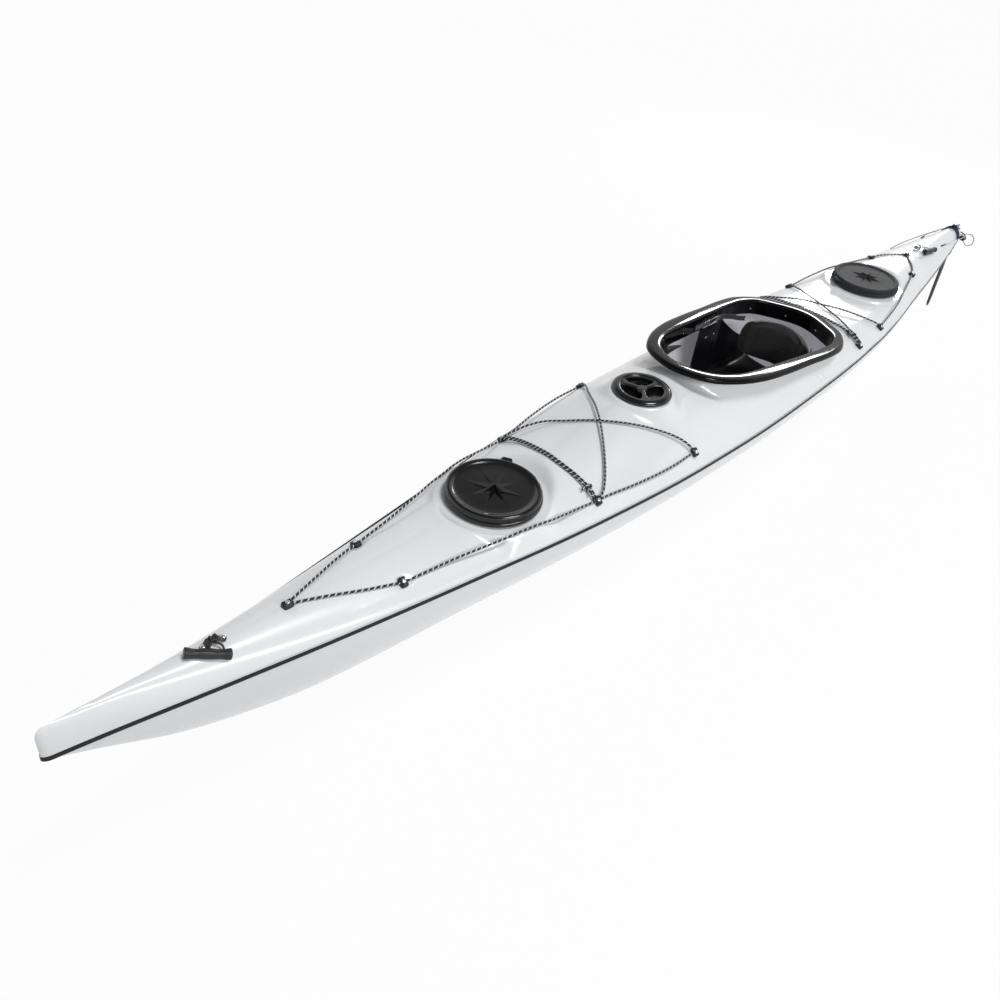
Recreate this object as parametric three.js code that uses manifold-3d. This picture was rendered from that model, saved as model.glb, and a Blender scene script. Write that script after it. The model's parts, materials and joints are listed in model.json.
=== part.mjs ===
// Sea kayak with a rudder, in millimetres. +X to the bow, +Y to port, +Z up.
// The origin is on the flat of the keel, at mid length.
import * as THREE from 'three';
import { mergeVertices } from 'three/addons/utils/BufferGeometryUtils.js';
import Module from 'manifold-3d';

const wasm = await Module();
wasm.setup();

// Clearances that every fit is worked out from
const fit = { gap: 0.3, cordLift: 1.6, overrun: 20, weld: 0.001 };

// Hull and deck, as one body that is parted at the seam
const halfLength = 2350;
const body = {
  sternX: -2346, halfBeam: 281, sheerHeight: 225, wall: 5, keelFlat: 45, keelFlatShare: 0.22,
  noseRadius: 14, postRadius: 12, sectionSteps: 6, stations: 20, endCrowdingShare: 0.6,
  cavityEnd: 230,
};
// One row a station: place along the half length, then half beam, then the heights of
// seam, keel and deck crown against the sheer height, then how full hull and deck are
const stationShares = [
  [1.0000, 0.032, 1.324, 1.300, 1.707, 1.50, 2.30],
  [0.9532, 0.085, 1.293, 1.049, 1.667, 1.65, 2.40],
  [0.8617, 0.214, 1.240, 0.545, 1.564, 1.65, 2.10],
  [0.7174, 0.406, 1.169, 0.160, 1.471, 1.80, 1.60],
  [0.5349, 0.623, 1.107, 0.044, 1.404, 1.68, 1.50],
  [0.3455, 0.826, 1.062, 0.015, 1.502, 1.78, 1.55],
  [0.1447, 0.961, 1.022, 0.000, 1.769, 1.78, 1.55],
  [-0.0426, 1.000, 1.000, 0.000, 1.689, 1.80, 1.60],
  [-0.2553, 0.961, 1.000, 0.000, 1.378, 1.80, 2.00],
  [-0.4468, 0.854, 1.018, 0.013, 1.316, 1.80, 2.70],
  [-0.6864, 0.548, 1.076, 0.133, 1.449, 1.70, 2.40],
  [-0.8511, 0.327, 1.133, 0.400, 1.471, 1.60, 2.20],
  [-0.9983, 0.093, 1.187, 0.889, 1.484, 1.50, 2.10],
];

// Round flats in the deck that carry the hatches and the deck plate
const hatch = {
  bowX: 1033, sternX: -1311, padRadius: 166, padTop: 304, padFlare: 34, recessSlope: 0.7,
  opening: 118, neck: 3.6, neckBelow: 24, rimHeight: 21, flangeRadius: 133, flange: 3,
  bead: 8, beadHeight: 6, coverRadius: 142.5, coverHeight: 34, edgeRoll: 8, discRadius: 112,
  discDrop: 5, coverWall: 6, tabWidth: 44, tabReach: 14, tabThickness: 5, ribHeight: 4, ribWidth: 13,
  sides: 20,
};
const plate = {
  x: 352, padRadius: 103, padTop: 397, padFlare: 30, radius: 98, opening: 78, neck: 4,
  neckBelow: 20, flange: 4.5, ledge: 8, sealHeight: 1.6, lidRadius: 86, lidRim: 3.2, lidDepth: 17,
  pocketOuter: 70, gripWidth: 17, gripTurn: THREE.MathUtils.degToRad(47), skin: 3, sides: 24,
};

// Cockpit rim, its riser wall and the raised deck round it
const coaming = {
  frontX: 205, rearX: -835, halfWidth: 253, openFrontX: 150, openRearX: -772, openHalfWidth: 202,
  frontZ: 436, rearZ: 316, wall: 4, wallDepth: 60, lip: 12, lipWall: 3.5, rimThickness: 6, round: 3.2,
  points: 32, plinthDrop: 15, plinthStep: 9, plinthFlare: 34, plinthDepth: 92,
};
const rimOuterShares = [
  [0, 0], [0.014, 0.277], [0.053, 0.534], [0.139, 0.751], [0.255, 0.889], [0.397, 0.949],
  [0.537, 0.972], [0.693, 1.0], [0.788, 0.968], [0.870, 0.830], [0.923, 0.672], [0.962, 0.415],
  [0.993, 0.158], [1, 0],
];
const rimInnerShares = [
  [0, 0], [0.016, 0.297], [0.065, 0.569], [0.146, 0.752], [0.228, 0.822], [0.363, 0.876],
  [0.537, 0.941], [0.721, 1.0], [0.814, 0.990], [0.900, 0.842], [0.949, 0.554], [0.992, 0.198],
  [1, 0],
];

// Seat that hangs from the riser wall, its back band and the straps
const seat = {
  frontX: -300, cheekRearX: -500, rearX: -650, panZ: 58, frontLip: 22, rearRise: 45, wall: 4,
  steps: 7, across: 14, corner: 0.55, panHalfWidthShare: 0.94, rearHalfWidth: 150, rearTop: 128,
};
const band = {
  x: -622, bottomZ: 150, height: 178, halfWidth: 150, thickness: 34, edge: 10, wrap: 62, lean: 12,
  across: 10, up: 6, hingeZ: 150,
};
const strap = { width: 20, thickness: 2.4, buckle: 34, buckleThickness: 6, drop: 40, sideGap: 0.5, endX: -567, endY: 147.4, endZ: 300 };

// Plates under the side deck that the knees brace on
const brace = { frontX: 60, rearX: -130, drop: 66, width: 62, thickness: 5, steps: 6, hook: 16, fall: 0.25, pad: 40 };

const bulkhead = { foreX: 640, aftX: -900, thickness: 8, clearance: 0.8 };

// Foot rails on the hull sides and the pedals that slide on them
const rail = { frontX: 560, rearX: 230, z: 120, height: 24, thickness: 12, boss: 9, bossHeight: 14, inset: 40 };
const pedal = {
  x: 400, width: 66, height: 118, thickness: 7, carriage: 60, grip: 5, rise: 24, toeLean: 14, ribs: 3,
};

// Deck fittings: a low dome on the deck with tunnels for the lines
const fitting = { radius: 13, length: 17, height: 16, top: 0.62, shoulder: 0.94, sides: 8, lowCord: 4.8, highCord: 11.4 };
const fittingPlaces = {
  bow: [1745, 0], noseSide: [1459, 90], hatchSide: [787, 190], kneeSide: [350, 235],
  backSide: [-830, 229], aftSide: [-1050, 212], tailSide: [-1575, 99], stern: [-1722, 0],
};
const cord = { diameter: 6, sides: 8, bite: 9 };
const wire = { diameter: 3, sides: 8 };

// Grab toggles on bow and stern
const toggle = {
  footLength: 10, span: 44, width: 16, barWidth: 6, barHeight: 7, barTop: 17.5, foot: 4, lift: 1,
  cordDiameter: 5, wrap: 7.8, handleRadius: 10,
};
// Middle of the saddle, where the cord wraps its bar, and both ends of the handle
const togglePlaces = {
  bow: { x: 1947, wrapX: 1951, handle: [[2019, -1], [1931, 47]] },
  stern: { x: -1839, wrapX: -1848, handle: [[-1812, 47], [-1904, 60]] },
};

// Rudder on the stern post
const rudder = {
  axisX: -2366, bracketLow: 206, bracketHigh: 258, mount: 6, postWidth: 30, barrel: 10, pintle: 5, pintleReach: 8,
  arm: 10, armLength: 30, yokeWidth: 22, spine: 9, spineBack: 16.5, crossArm: 50, crossArmHeight: 7, gap: 0.5,
  hingeX: -2360, hingeZ: 184, cheek: 5, cheekLength: 22, cheekTop: 199, headRadius: 10.5, boltRadius: 4,
  bladeLength: 315, bladeWidth: 36, bladeThickness: 12, bladeSweep: 38,
};

const colour = {
  gelcoat: 0xf1f2f2, black: 0x101113, fibre: 0x141416, rubber: 0x1b1c1e, inner: 0xc9cbcc,
  line: 0x1d2140, foam: 0x17181a, steel: 0xb9bcc0, greyRubber: 0x47494b,
};

// Small helpers

const v = (x, y, z) => new THREE.Vector3(x, y, z);
const mix = (a, b, t) => a + (b - a) * t;
const half = (value) => value / 2;

// Closed surface from loose triangles: joins shared corners, drops flat ones, faces out
function solid(triangles) {
  const corners = [];
  const index = [];
  const seen = new Map();
  const place = (p) => {
    const key = [p.x, p.y, p.z].map((n) => Math.round(n / fit.weld)).join(',');
    if (!seen.has(key)) {
      seen.set(key, corners.length);
      corners.push(p);
    }
    return seen.get(key);
  };
  for (const triangle of triangles) {
    const [a, b, c] = triangle.map(place);
    if (a !== b && b !== c && c !== a) index.push(a, b, c);
  }
  let volume = 0;
  for (let k = 0; k < index.length; k += 3) {
    const [a, b, c] = [corners[index[k]], corners[index[k + 1]], corners[index[k + 2]]];
    volume += a.dot(b.clone().cross(c));
  }
  if (volume < 0) {
    for (let k = 0; k < index.length; k += 3) [index[k + 1], index[k + 2]] = [index[k + 2], index[k + 1]];
  }
  const geometry = new THREE.BufferGeometry();
  geometry.setAttribute('position', new THREE.Float32BufferAttribute(corners.flatMap((p) => [p.x, p.y, p.z]), 3));
  geometry.setIndex(index);
  return geometry;
}

function quad(triangles, a, b, c, d) {
  triangles.push([a, b, c], [a, c, d]);
}

// Rings of equal length joined side by side, with both ends closed by a fan
function loft(rings) {
  const triangles = [];
  for (let i = 0; i + 1 < rings.length; i += 1) {
    const [ring, next] = [rings[i], rings[i + 1]];
    for (let j = 0; j < ring.length; j += 1) {
      const k = (j + 1) % ring.length;
      quad(triangles, ring[j], ring[k], next[k], next[j]);
    }
  }
  const close = (ring, flip) => {
    const centre = ring.reduce((sum, p) => sum.add(p), v(0, 0, 0)).divideScalar(ring.length);
    ring.forEach((p, j) => {
      const q = ring[(j + 1) % ring.length];
      triangles.push(flip ? [centre, q, p] : [centre, p, q]);
    });
  };
  close(rings[0], true);
  close(rings[rings.length - 1], false);
  return solid(triangles);
}

// Rings joined end to end, so that the section sweeps round a closed path
function loopLoft(rings) {
  const triangles = [];
  rings.forEach((ring, i) => {
    const next = rings[(i + 1) % rings.length];
    ring.forEach((p, j) => {
      const k = (j + 1) % ring.length;
      quad(triangles, p, ring[k], next[k], next[j]);
    });
  });
  return solid(triangles);
}

// A sheet with two faces, given as grids of points over and under it
function slab(over, under) {
  const triangles = [];
  const rows = over.length - 1;
  const columns = over[0].length - 1;
  for (let i = 0; i < rows; i += 1) {
    for (let j = 0; j < columns; j += 1) {
      quad(triangles, over[i][j], over[i + 1][j], over[i + 1][j + 1], over[i][j + 1]);
      quad(triangles, under[i][j], under[i][j + 1], under[i + 1][j + 1], under[i + 1][j]);
    }
  }
  for (let i = 0; i < rows; i += 1) {
    quad(triangles, over[i][0], under[i][0], under[i + 1][0], over[i + 1][0]);
    quad(triangles, over[i][columns], over[i + 1][columns], under[i + 1][columns], under[i][columns]);
  }
  for (let j = 0; j < columns; j += 1) {
    quad(triangles, over[0][j], over[0][j + 1], under[0][j + 1], under[0][j]);
    quad(triangles, over[rows][j], under[rows][j], under[rows][j + 1], over[rows][j + 1]);
  }
  return solid(triangles);
}

function toManifold(geometry) {
  const bare = geometry.clone();
  bare.deleteAttribute('normal');
  bare.deleteAttribute('uv');
  const merged = mergeVertices(bare, fit.weld);
  return new wasm.Manifold(new wasm.Mesh({
    numProp: 3,
    vertProperties: new Float32Array(merged.attributes.position.array),
    triVerts: new Uint32Array(merged.index.array),
  }));
}

function toGeometry(manifold) {
  const mesh = manifold.getMesh();
  const geometry = new THREE.BufferGeometry();
  geometry.setAttribute('position', new THREE.Float32BufferAttribute(mesh.vertProperties, 3));
  geometry.setIndex(Array.from(mesh.triVerts));
  return geometry;
}

const cut = (base, ...tools) => toGeometry(tools.reduce((m, t) => m.subtract(toManifold(t)), toManifold(base)));
const join = (base, ...more) => toGeometry(more.reduce((m, t) => m.add(toManifold(t)), toManifold(base)));

function lathe(profile, sides) {
  const geometry = new THREE.LatheGeometry(profile.map(([r, z]) => new THREE.Vector2(r, z)), sides);
  return geometry.rotateX(Math.PI / 2);
}

// A closed ring profile turned about Z
function ringLathe(profile, sides) {
  return lathe([...profile, profile[0]], sides);
}

function prism(outline, depth) {
  const shape = new THREE.Shape(outline.map(([x, y]) => new THREE.Vector2(x, y)));
  return new THREE.ExtrudeGeometry(shape, { depth, bevelEnabled: false });
}

function tube(points, diameter, steps, sides, closed = false) {
  const outline = [];
  for (let k = 0; k < sides; k += 1) {
    const angle = (2 * Math.PI * k) / sides;
    outline.push([half(diameter) * Math.cos(angle), half(diameter) * Math.sin(angle)]);
  }
  const shape = new THREE.Shape(outline.map(([x, y]) => new THREE.Vector2(x, y)));
  const path = new THREE.CatmullRomCurve3(points, closed);
  return new THREE.ExtrudeGeometry(shape, { steps, bevelEnabled: false, extrudePath: path });
}

function box(sizeX, sizeY, sizeZ, x, y, z) {
  return new THREE.BoxGeometry(sizeX, sizeY, sizeZ).translate(x, y, z);
}

function finish(color, roughness, metalness = 0) {
  return new THREE.MeshStandardMaterial({ color, roughness, metalness });
}

const kayak = new THREE.Group();

function add(name, geometry, material) {
  const mesh = new THREE.Mesh(geometry, material);
  mesh.name = name;
  kayak.add(mesh);
  return mesh;
}

// Lines of the hull: a smooth curve through each column of the station table

function stationCurve(column, size) {
  const rows = [...stationShares].reverse();
  const xs = rows.map((row) => row[0] * halfLength);
  const ys = rows.map((row) => row[column] * size);
  const slope = xs.slice(1).map((x, i) => (ys[i + 1] - ys[i]) / (x - xs[i]));
  const tangent = xs.map((x, i) => {
    if (i === 0) return slope[0];
    if (i === xs.length - 1) return slope[i - 1];
    const [before, after] = [slope[i - 1], slope[i]];
    if (before * after <= 0) return 0;
    const [h0, h1] = [xs[i] - xs[i - 1], xs[i + 1] - xs[i]];
    const [w0, w1] = [2 * h1 + h0, h1 + 2 * h0];
    return (w0 + w1) / (w0 / before + w1 / after);
  });
  return (x) => {
    let i = 0;
    while (i < xs.length - 2 && x > xs[i + 1]) i += 1;
    const h = xs[i + 1] - xs[i];
    const t = Math.min(Math.max((x - xs[i]) / h, 0), 1);
    const [t2, t3] = [t * t, t * t * t];
    return (2 * t3 - 3 * t2 + 1) * ys[i] + (t3 - 2 * t2 + t) * h * tangent[i]
      + (3 * t2 - 2 * t3) * ys[i + 1] + (t3 - t2) * h * tangent[i + 1];
  };
}

const lines = {
  beam: stationCurve(1, body.halfBeam),
  sheer: stationCurve(2, body.sheerHeight),
  keel: stationCurve(3, body.sheerHeight),
  crown: stationCurve(4, body.sheerHeight),
  hullPower: stationCurve(5, 1),
  deckPower: stationCurve(6, 1),
};

// How far an end is rounded in: 1 along the boat, 0 at the very tip
function endShrink(x) {
  const bow = (x - (halfLength - body.noseRadius)) / body.noseRadius;
  const stern = (body.sternX + body.postRadius - x) / body.postRadius;
  const t = Math.min(Math.max(bow, stern, 0), 1);
  return Math.sqrt(1 - t * t);
}

function stationPlaces() {
  const places = [];
  const [from, to] = [body.sternX + body.postRadius, halfLength - body.noseRadius];
  for (let k = 0; k <= body.stations; k += 1) {
    const t = k / body.stations;
    const crowded = t - (body.endCrowdingShare * Math.sin(2 * Math.PI * t)) / (2 * Math.PI);
    places.push(mix(from, to, crowded));
  }
  const rounding = [0.6, 0.9, 1];
  return [
    ...rounding.map((s) => from - s * body.postRadius).reverse(), ...places,
    ...rounding.map((s) => to + s * body.noseRadius),
  ];
}

// One section of hull and deck, from the port seam down and round
function section(x, inset = 0, shrink = endShrink(x)) {
  const bow = x > 0;
  const beam = (lines.beam(x) - inset) * shrink;
  const sheer = lines.sheer(x);
  const keel = mix(sheer, lines.keel(x) + inset, bow ? shrink : 1);
  const crown = lines.crown(x) - inset - body.noseRadius * (1 - shrink);
  const flat = Math.min(body.keelFlat, body.keelFlatShare * beam);
  const side = [];
  for (let k = 0; k <= body.sectionSteps; k += 1) {
    const angle = (half(Math.PI) * k) / body.sectionSteps;
    const power = 2 / lines.hullPower(x);
    side.push([flat + (beam - flat) * Math.cos(angle) ** power, sheer - (sheer - keel) * Math.sin(angle) ** power]);
  }
  const over = [];
  for (let k = 1; k <= body.sectionSteps; k += 1) {
    const angle = (half(Math.PI) * k) / body.sectionSteps;
    const power = 2 / lines.deckPower(x);
    over.push([beam * Math.cos(angle) ** power, sheer + (crown - sheer) * Math.sin(angle) ** power]);
  }
  const tidy = ([y, z]) => [Math.abs(y) < fit.weld ? 0 : y, z];
  const hullSide = side.map(tidy);
  const deckSide = over.map(tidy);
  return [
    ...hullSide.map(([y, z]) => v(x, y, z)),
    ...[...hullSide].reverse().map(([y, z]) => v(x, -y, z)),
    ...deckSide.map(([y, z]) => v(x, -y, z)),
    ...[...deckSide].slice(0, -1).reverse().map(([y, z]) => v(x, y, z)),
  ];
}

function bodySolid(inset, from = -Infinity, to = Infinity) {
  const places = stationPlaces().filter((x) => x > from && x < to);
  if (from > -Infinity) places.unshift(from);
  if (to < Infinity) places.push(to);
  return loft(places.map((x) => section(x, inset, inset > 0 ? 1 : endShrink(x))));
}

// Everything below the seam, less half of the seam's gap, or all above it
function seamSide(sign) {
  const reach = 3 * body.halfBeam;
  const places = [body.sternX - reach, ...stationPlaces(), halfLength + reach];
  return loft(places.map((x) => {
    const z = lines.sheer(x) + sign * half(fit.gap);
    return [v(x, reach, z), v(x, -reach, z), v(x, -reach, z + sign * reach), v(x, reach, z + sign * reach)];
  }));
}

// Round flats: a flared pad to add, and the hollow above it to take away

function padSolid(x, pad, inset) {
  const radius = pad.padRadius - inset * 0.4;
  const top = pad.padTop - inset;
  const low = pad.padTop - pad.padFlare - inset;
  return lathe([[0, low], [radius + pad.padFlare, low], [radius, top], [0, top]], hatch.sides).translate(x, 0, 0);
}

function recessSolid(x, pad, grow) {
  const radius = pad.padRadius + grow;
  const floor = pad.padTop - grow;
  const rise = pad.padRadius;
  const wide = radius + rise * hatch.recessSlope;
  return lathe([[0, floor], [radius, floor], [wide, floor + rise], [0, floor + rise]], hatch.sides).translate(x, 0, 0);
}

const pads = [[hatch.bowX, hatch], [hatch.sternX, hatch], [plate.x, plate]];

// Outlines of the cockpit rim, in plan, with matching points

function egg(shares, frontX, rearX, halfWidth) {
  const side = shares.map(([along, across]) => v(mix(frontX, rearX, along), across * halfWidth, 0));
  const other = side.slice(1, -1).reverse().map((p) => v(p.x, -p.y, 0));
  const curve = new THREE.CatmullRomCurve3([...side, ...other], true);
  return curve.getSpacedPoints(coaming.points).slice(0, coaming.points);
}

const rimOuter = egg(rimOuterShares, coaming.frontX, coaming.rearX, coaming.halfWidth);
const rimInner = egg(rimInnerShares, coaming.openFrontX, coaming.openRearX, coaming.openHalfWidth);
const rimSlope = (coaming.frontZ - coaming.rearZ) / (coaming.frontX - coaming.rearX);
const rimZ = (x) => coaming.rearZ + (x - coaming.rearX) * rimSlope;

// The point that lies a step outwards of the opening, at a depth below the rim
function rimPoint(i, step, depth) {
  const outward = rimOuter[i].clone().sub(rimInner[i]).normalize();
  const p = rimInner[i].clone().addScaledVector(outward, step);
  return v(p.x, p.y, rimZ(p.x) - depth);
}

const rimRing = (step, depth) => rimInner.map((_, i) => rimPoint(i, step, depth));

function cockpitPlinth(inset) {
  const top = coaming.wall + coaming.plinthStep;
  return loft([
    rimRing(top + coaming.plinthFlare - inset, coaming.plinthDepth + inset),
    rimRing(top - inset * 0.6, coaming.plinthDrop + inset),
  ]);
}

function cockpitHole() {
  const step = coaming.wall + fit.gap;
  const reach = body.sheerHeight;
  return loft([rimRing(step, reach), rimRing(step, -reach)]);
}

function cockpitCoaming() {
  const c = coaming;
  return loopLoft(rimInner.map((_, i) => {
    const width = rimOuter[i].distanceTo(rimInner[i]);
    return [
      [0, c.wallDepth], [0, c.round], [c.round, 0], [width - c.round, 0], [width, c.round], [width, c.lip],
      [width - c.lipWall, c.lip], [width - c.lipWall, c.rimThickness], [c.wall, c.rimThickness], [c.wall, c.wallDepth],
    ].map(([step, depth]) => rimPoint(i, step, depth));
  }));
}

// Hull, deck and the strip over their seam

function shells() {
  const { wall } = body;
  const outer = [...pads.map(([x, pad]) => padSolid(x, pad, 0)), cockpitPlinth(0)];
  let skin = toManifold(bodySolid(0));
  for (const piece of outer) skin = skin.add(toManifold(piece));
  for (const [x, pad] of pads) skin = skin.subtract(toManifold(recessSolid(x, pad, 0)));
  let cavity = toManifold(bodySolid(wall, body.sternX + body.cavityEnd, halfLength - body.cavityEnd));
  cavity = cavity.add(toManifold(cockpitPlinth(wall)));
  for (const [x, pad] of pads) cavity = cavity.subtract(toManifold(recessSolid(x, pad, wall)));
  const shell = skin.subtract(cavity);
  let deck = shell.intersect(toManifold(seamSide(1))).subtract(toManifold(cockpitHole()));
  for (const [x, pad] of pads) {
    const radius = pad.opening + pad.neck + 2 * fit.gap;
    const hole = lathe([[0, 0], [radius, 0], [radius, pad.padTop], [0, pad.padTop]], pad.sides);
    deck = deck.subtract(toManifold(hole.translate(x, 0, half(pad.padTop))));
  }
  const hull = shell.intersect(toManifold(seamSide(-1)));
  return { hull: toGeometry(hull), deck: toGeometry(deck), cavity };
}

const strip = { height: 12, thickness: 2.2 };

function seamStrip() {
  const places = stationPlaces();
  const port = places.map((x) => v(x, lines.beam(x) * endShrink(x), lines.sheer(x)));
  const starboard = port.slice(1, -1).reverse().map((p) => v(p.x, -p.y, p.z));
  const path = [...port, ...starboard];
  return loopLoft(path.map((p, i) => {
    const before = path[(i + path.length - 1) % path.length];
    const after = path[(i + 1) % path.length];
    const run = after.clone().sub(before);
    const outward = v(-run.y, run.x, 0).normalize();
    const near = p.clone().addScaledVector(outward, fit.gap * 2);
    const far = p.clone().addScaledVector(outward, fit.gap * 2 + strip.thickness);
    const rise = v(0, 0, half(strip.height));
    return [near.clone().sub(rise), far.clone().sub(rise), far.clone().add(rise), near.clone().add(rise)];
  }));
}

// Seats a point on the deck as built: its height and the way the surface faces

const { hull: hullShell, deck: deckShell, cavity } = shells();
const deckMesh = new THREE.Mesh(deckShell, new THREE.MeshBasicMaterial({ side: THREE.DoubleSide }));
deckMesh.updateMatrixWorld();

const footReach = 12;

function deckPoint(x, y) {
  const down = new THREE.Raycaster(v(x, y, halfLength), v(0, 0, -1));
  return down.intersectObject(deckMesh)[0].point;
}

function onDeck(x, y) {
  const alongX = deckPoint(x + footReach, y).sub(deckPoint(x - footReach, y));
  const alongY = deckPoint(x, y + footReach).sub(deckPoint(x, y - footReach));
  return { point: deckPoint(x, y), normal: alongX.cross(alongY).normalize() };
}


// A cord that lies on the deck: plan points [x, y, lift] seated on it and run through smoothly
function cordPath(points, steps) {
  const plan = new THREE.CatmullRomCurve3(points.map(([x, y, lift]) => v(x, y, lift)));
  const path = [];
  for (let k = 0; k <= steps; k += 1) {
    const p = plan.getPointAt(k / steps);
    const seated = onDeck(p.x, p.y);
    path.push(seated.point.addScaledVector(seated.normal, p.z));
  }
  return path;
}

function deckCord(points, steps) {
  const path = cordPath(points, steps);
  const grown = cord.diameter + 2 * fit.gap;
  return {
    solid: tube(path, cord.diameter, steps, cord.sides),
    clearance: toManifold(tube(path, grown, steps, cord.sides)),
  };
}

const mirrored = (points) => points.map(([x, y, lift]) => [x, -y, lift]);

// Lines on the fore and aft decks, from fitting to fitting

const low = fitting.lowCord;
const high = fitting.highCord;
const places = fittingPlaces;

const foreSideLine = [
  [...places.noseSide, low], [1312, 113, low], [1153, 144, low + 1.5], [980, 174, low + 1.5], [...places.hatchSide, low],
  [615, 220, low], [479, 235, low], [places.kneeSide[0] - 7, places.kneeSide[1], low],
];
const forePerimeter = [
  ...mirrored(foreSideLine).reverse(), [1545, -67, low], [1642, -34, low], [1715, -10, low],
  [places.bow[0], places.bow[1], low], [1715, 10, low], [1642, 34, low], [1545, 67, low], ...foreSideLine,
];
const foreCross = [
  [places.kneeSide[0] + 5, places.kneeSide[1] - 4, high], [383, 195, high], [463, 118, 9], [578, 4, 6], [627, -63, 6],
  [669, -135, 6], [722, -170, 7], [757, -182, high], [places.hatchSide[0] - 9, 3 - places.hatchSide[1], high],
];
const foreCrossOver = [
  [places.kneeSide[0] + 5, places.kneeSide[1] - 4, high], [395, 185, high], [465, 118, 9], [532, 40, 12.5],
  [579, -12, 13], [645, -85, 10], [711, -150, 7], [757, -182, high], [places.hatchSide[0] - 9, 3 - places.hatchSide[1], high],
];
const foreDouble = [[790, 0], [799, 2]].map(([x, bow]) => [
  [x, places.hatchSide[1] - 4, high], [x - 4, 154, 9], [x - 2, 100, 6], [x + 5, 30, 5.5], [x + 3, -50, 5.5],
  [x - 4, -120, 7], [x - 2 + bow, -168, high], [x, 5 - places.hatchSide[1], high],
]);
const foreKnot = [790, 154, 11];

const aftLoop = [
  [places.aftSide[0] - 4, places.aftSide[1], low], [-1225, 188, low + 1.5], [-1400, 146, low + 1.5], [...places.tailSide, low],
  [-1630, 72, low], [-1690, 24, low], [places.stern[0] - 3, places.stern[1], low],
];
const aftPerimeter = [...aftLoop, ...mirrored(aftLoop).slice(0, -1).reverse()];
const aftCross = [
  [places.backSide[0] - 10, places.backSide[1] - 4, high], [-860, 170, 8], [-900, 95, 6], [-945, 0, 6], [-985, -90, 6],
  [-1020, -165, 8], [places.aftSide[0] + 5, 5 - places.aftSide[1], high],
];
const aftCrossOver = aftCross.map(([x, y, lift], k) => [x, y, k > 1 && k < 5 ? 12.6 : lift]);
const aftDouble = [-828, -819].map((x) => [
  [x, places.backSide[1] - 6, high], [x - 16, 175, 9], [x - 24, 110, 6], [x - 26, 30, 5.5], [x - 24, -50, 5.5],
  [x - 18, -120, 6], [x - 4, -190, high], [x, 6 - places.backSide[1], high],
]);
const aftKnot = [-840, 175, 11];

// Two cords side by side, tied together in one knot
function tiedCords(pair, steps, [x, y, lift]) {
  const strands = pair.map((points) => deckCord(points, steps));
  const { point, normal } = onDeck(x, y);
  const knot = new THREE.SphereGeometry(1.5 * cord.diameter, 8, 6).translate(0, 0, 0);
  const centre = point.addScaledVector(normal, lift);
  knot.translate(centre.x, centre.y, centre.z);
  return {
    solid: join(strands[0].solid, strands[1].solid, knot),
    clearance: strands[0].clearance.add(strands[1].clearance),
  };
}

const cords = {
  fore_perimeter_line: deckCord(forePerimeter, 48),
  fore_cross_line_under: deckCord(foreCross, 22),
  fore_cross_line_over: deckCord(mirrored(foreCrossOver), 22),
  fore_double_line: tiedCords(foreDouble, 16, foreKnot),
  aft_perimeter_line: deckCord(aftPerimeter, 34),
  aft_cross_line_under: deckCord(aftCross, 17),
  aft_cross_line_over: deckCord(mirrored(aftCrossOver), 17),
  aft_double_line: tiedCords(aftDouble, 16, aftKnot),
};

// Turns a piece made upright at the origin so that it stands on the deck at a place
function standOnDeck(geometry, x, y, lift) {
  const { point, normal } = onDeck(x, y);
  const along = v(1, 0, 0).addScaledVector(normal, -normal.x).normalize();
  const across = normal.clone().cross(along);
  const turn = new THREE.Matrix4().makeBasis(along, across, normal);
  turn.setPosition(point.addScaledVector(normal, lift));
  return geometry.applyMatrix4(turn);
}

function deckFitting([x, y]) {
  const { radius, height, shoulder, top } = fitting;
  const dome = lathe([
    [0, 0], [radius, 0], [radius * shoulder, height * 0.7], [radius * top, height], [0, height],
  ], fitting.sides);
  dome.scale(fitting.length / radius, 1, 1);
  const piece = toManifold(standOnDeck(dome, x, y, 3 * fit.gap));
  return toGeometry(Object.values(cords).reduce((m, line) => m.subtract(line.clearance), piece));
}

// Hatches: a rim that is screwed into the pad and a cover that presses over it

function hatchRim(x) {
  const h = hatch;
  const outer = h.opening + h.neck;
  return ringLathe([
    [h.opening, -h.neckBelow], [outer, -h.neckBelow], [outer, fit.gap], [h.flangeRadius, fit.gap],
    [h.flangeRadius, h.flange], [outer, h.flange], [outer, h.rimHeight - h.beadHeight],
    [outer + h.bead, h.rimHeight - h.beadHeight], [outer + h.bead, h.rimHeight], [h.opening, h.rimHeight],
  ], h.sides).translate(x, 0, h.padTop);
}

function hatchCover(x, tabAngle) {
  const h = hatch;
  const inner = h.opening + h.neck + h.bead + 2.4;
  const [top, disc] = [h.coverHeight, h.coverHeight - h.discDrop];
  const cap = lathe([
    [0, disc - h.coverWall], [inner, disc - h.coverWall], [inner, h.flange + fit.gap], [h.coverRadius - 2, h.flange + fit.gap],
    [h.coverRadius, h.flange + 2.5], [h.coverRadius, h.flange + 9], [h.coverRadius - 4, h.flange + 12],
    [h.coverRadius - 3, top - 6], [h.coverRadius - 8, top], [h.discRadius + 5, top], [h.discRadius, disc], [0, disc],
  ], h.sides);
  const tab = prism([[-half(h.tabWidth), 0], [half(h.tabWidth), 0], [h.tabWidth * 0.3, h.tabReach + 6],
    [-h.tabWidth * 0.3, h.tabReach + 6]], h.tabThickness)
    .translate(0, h.coverRadius - 7, h.flange).rotateZ(tabAngle - half(Math.PI));
  const star = [0, 1, 2, 3].map((k) => {
    const ray = prism([[0, -h.ribWidth], [h.discRadius * 0.55, 0], [0, h.ribWidth]], h.ribHeight + 2);
    return ray.translate(0, 0, disc - 2).rotateZ(half(Math.PI) * k);
  });
  return join(cap, tab, ...star).translate(x, 0, h.padTop);
}

// Deck plate: a ring on the deck, its seal, and the lid that turns in it

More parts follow.
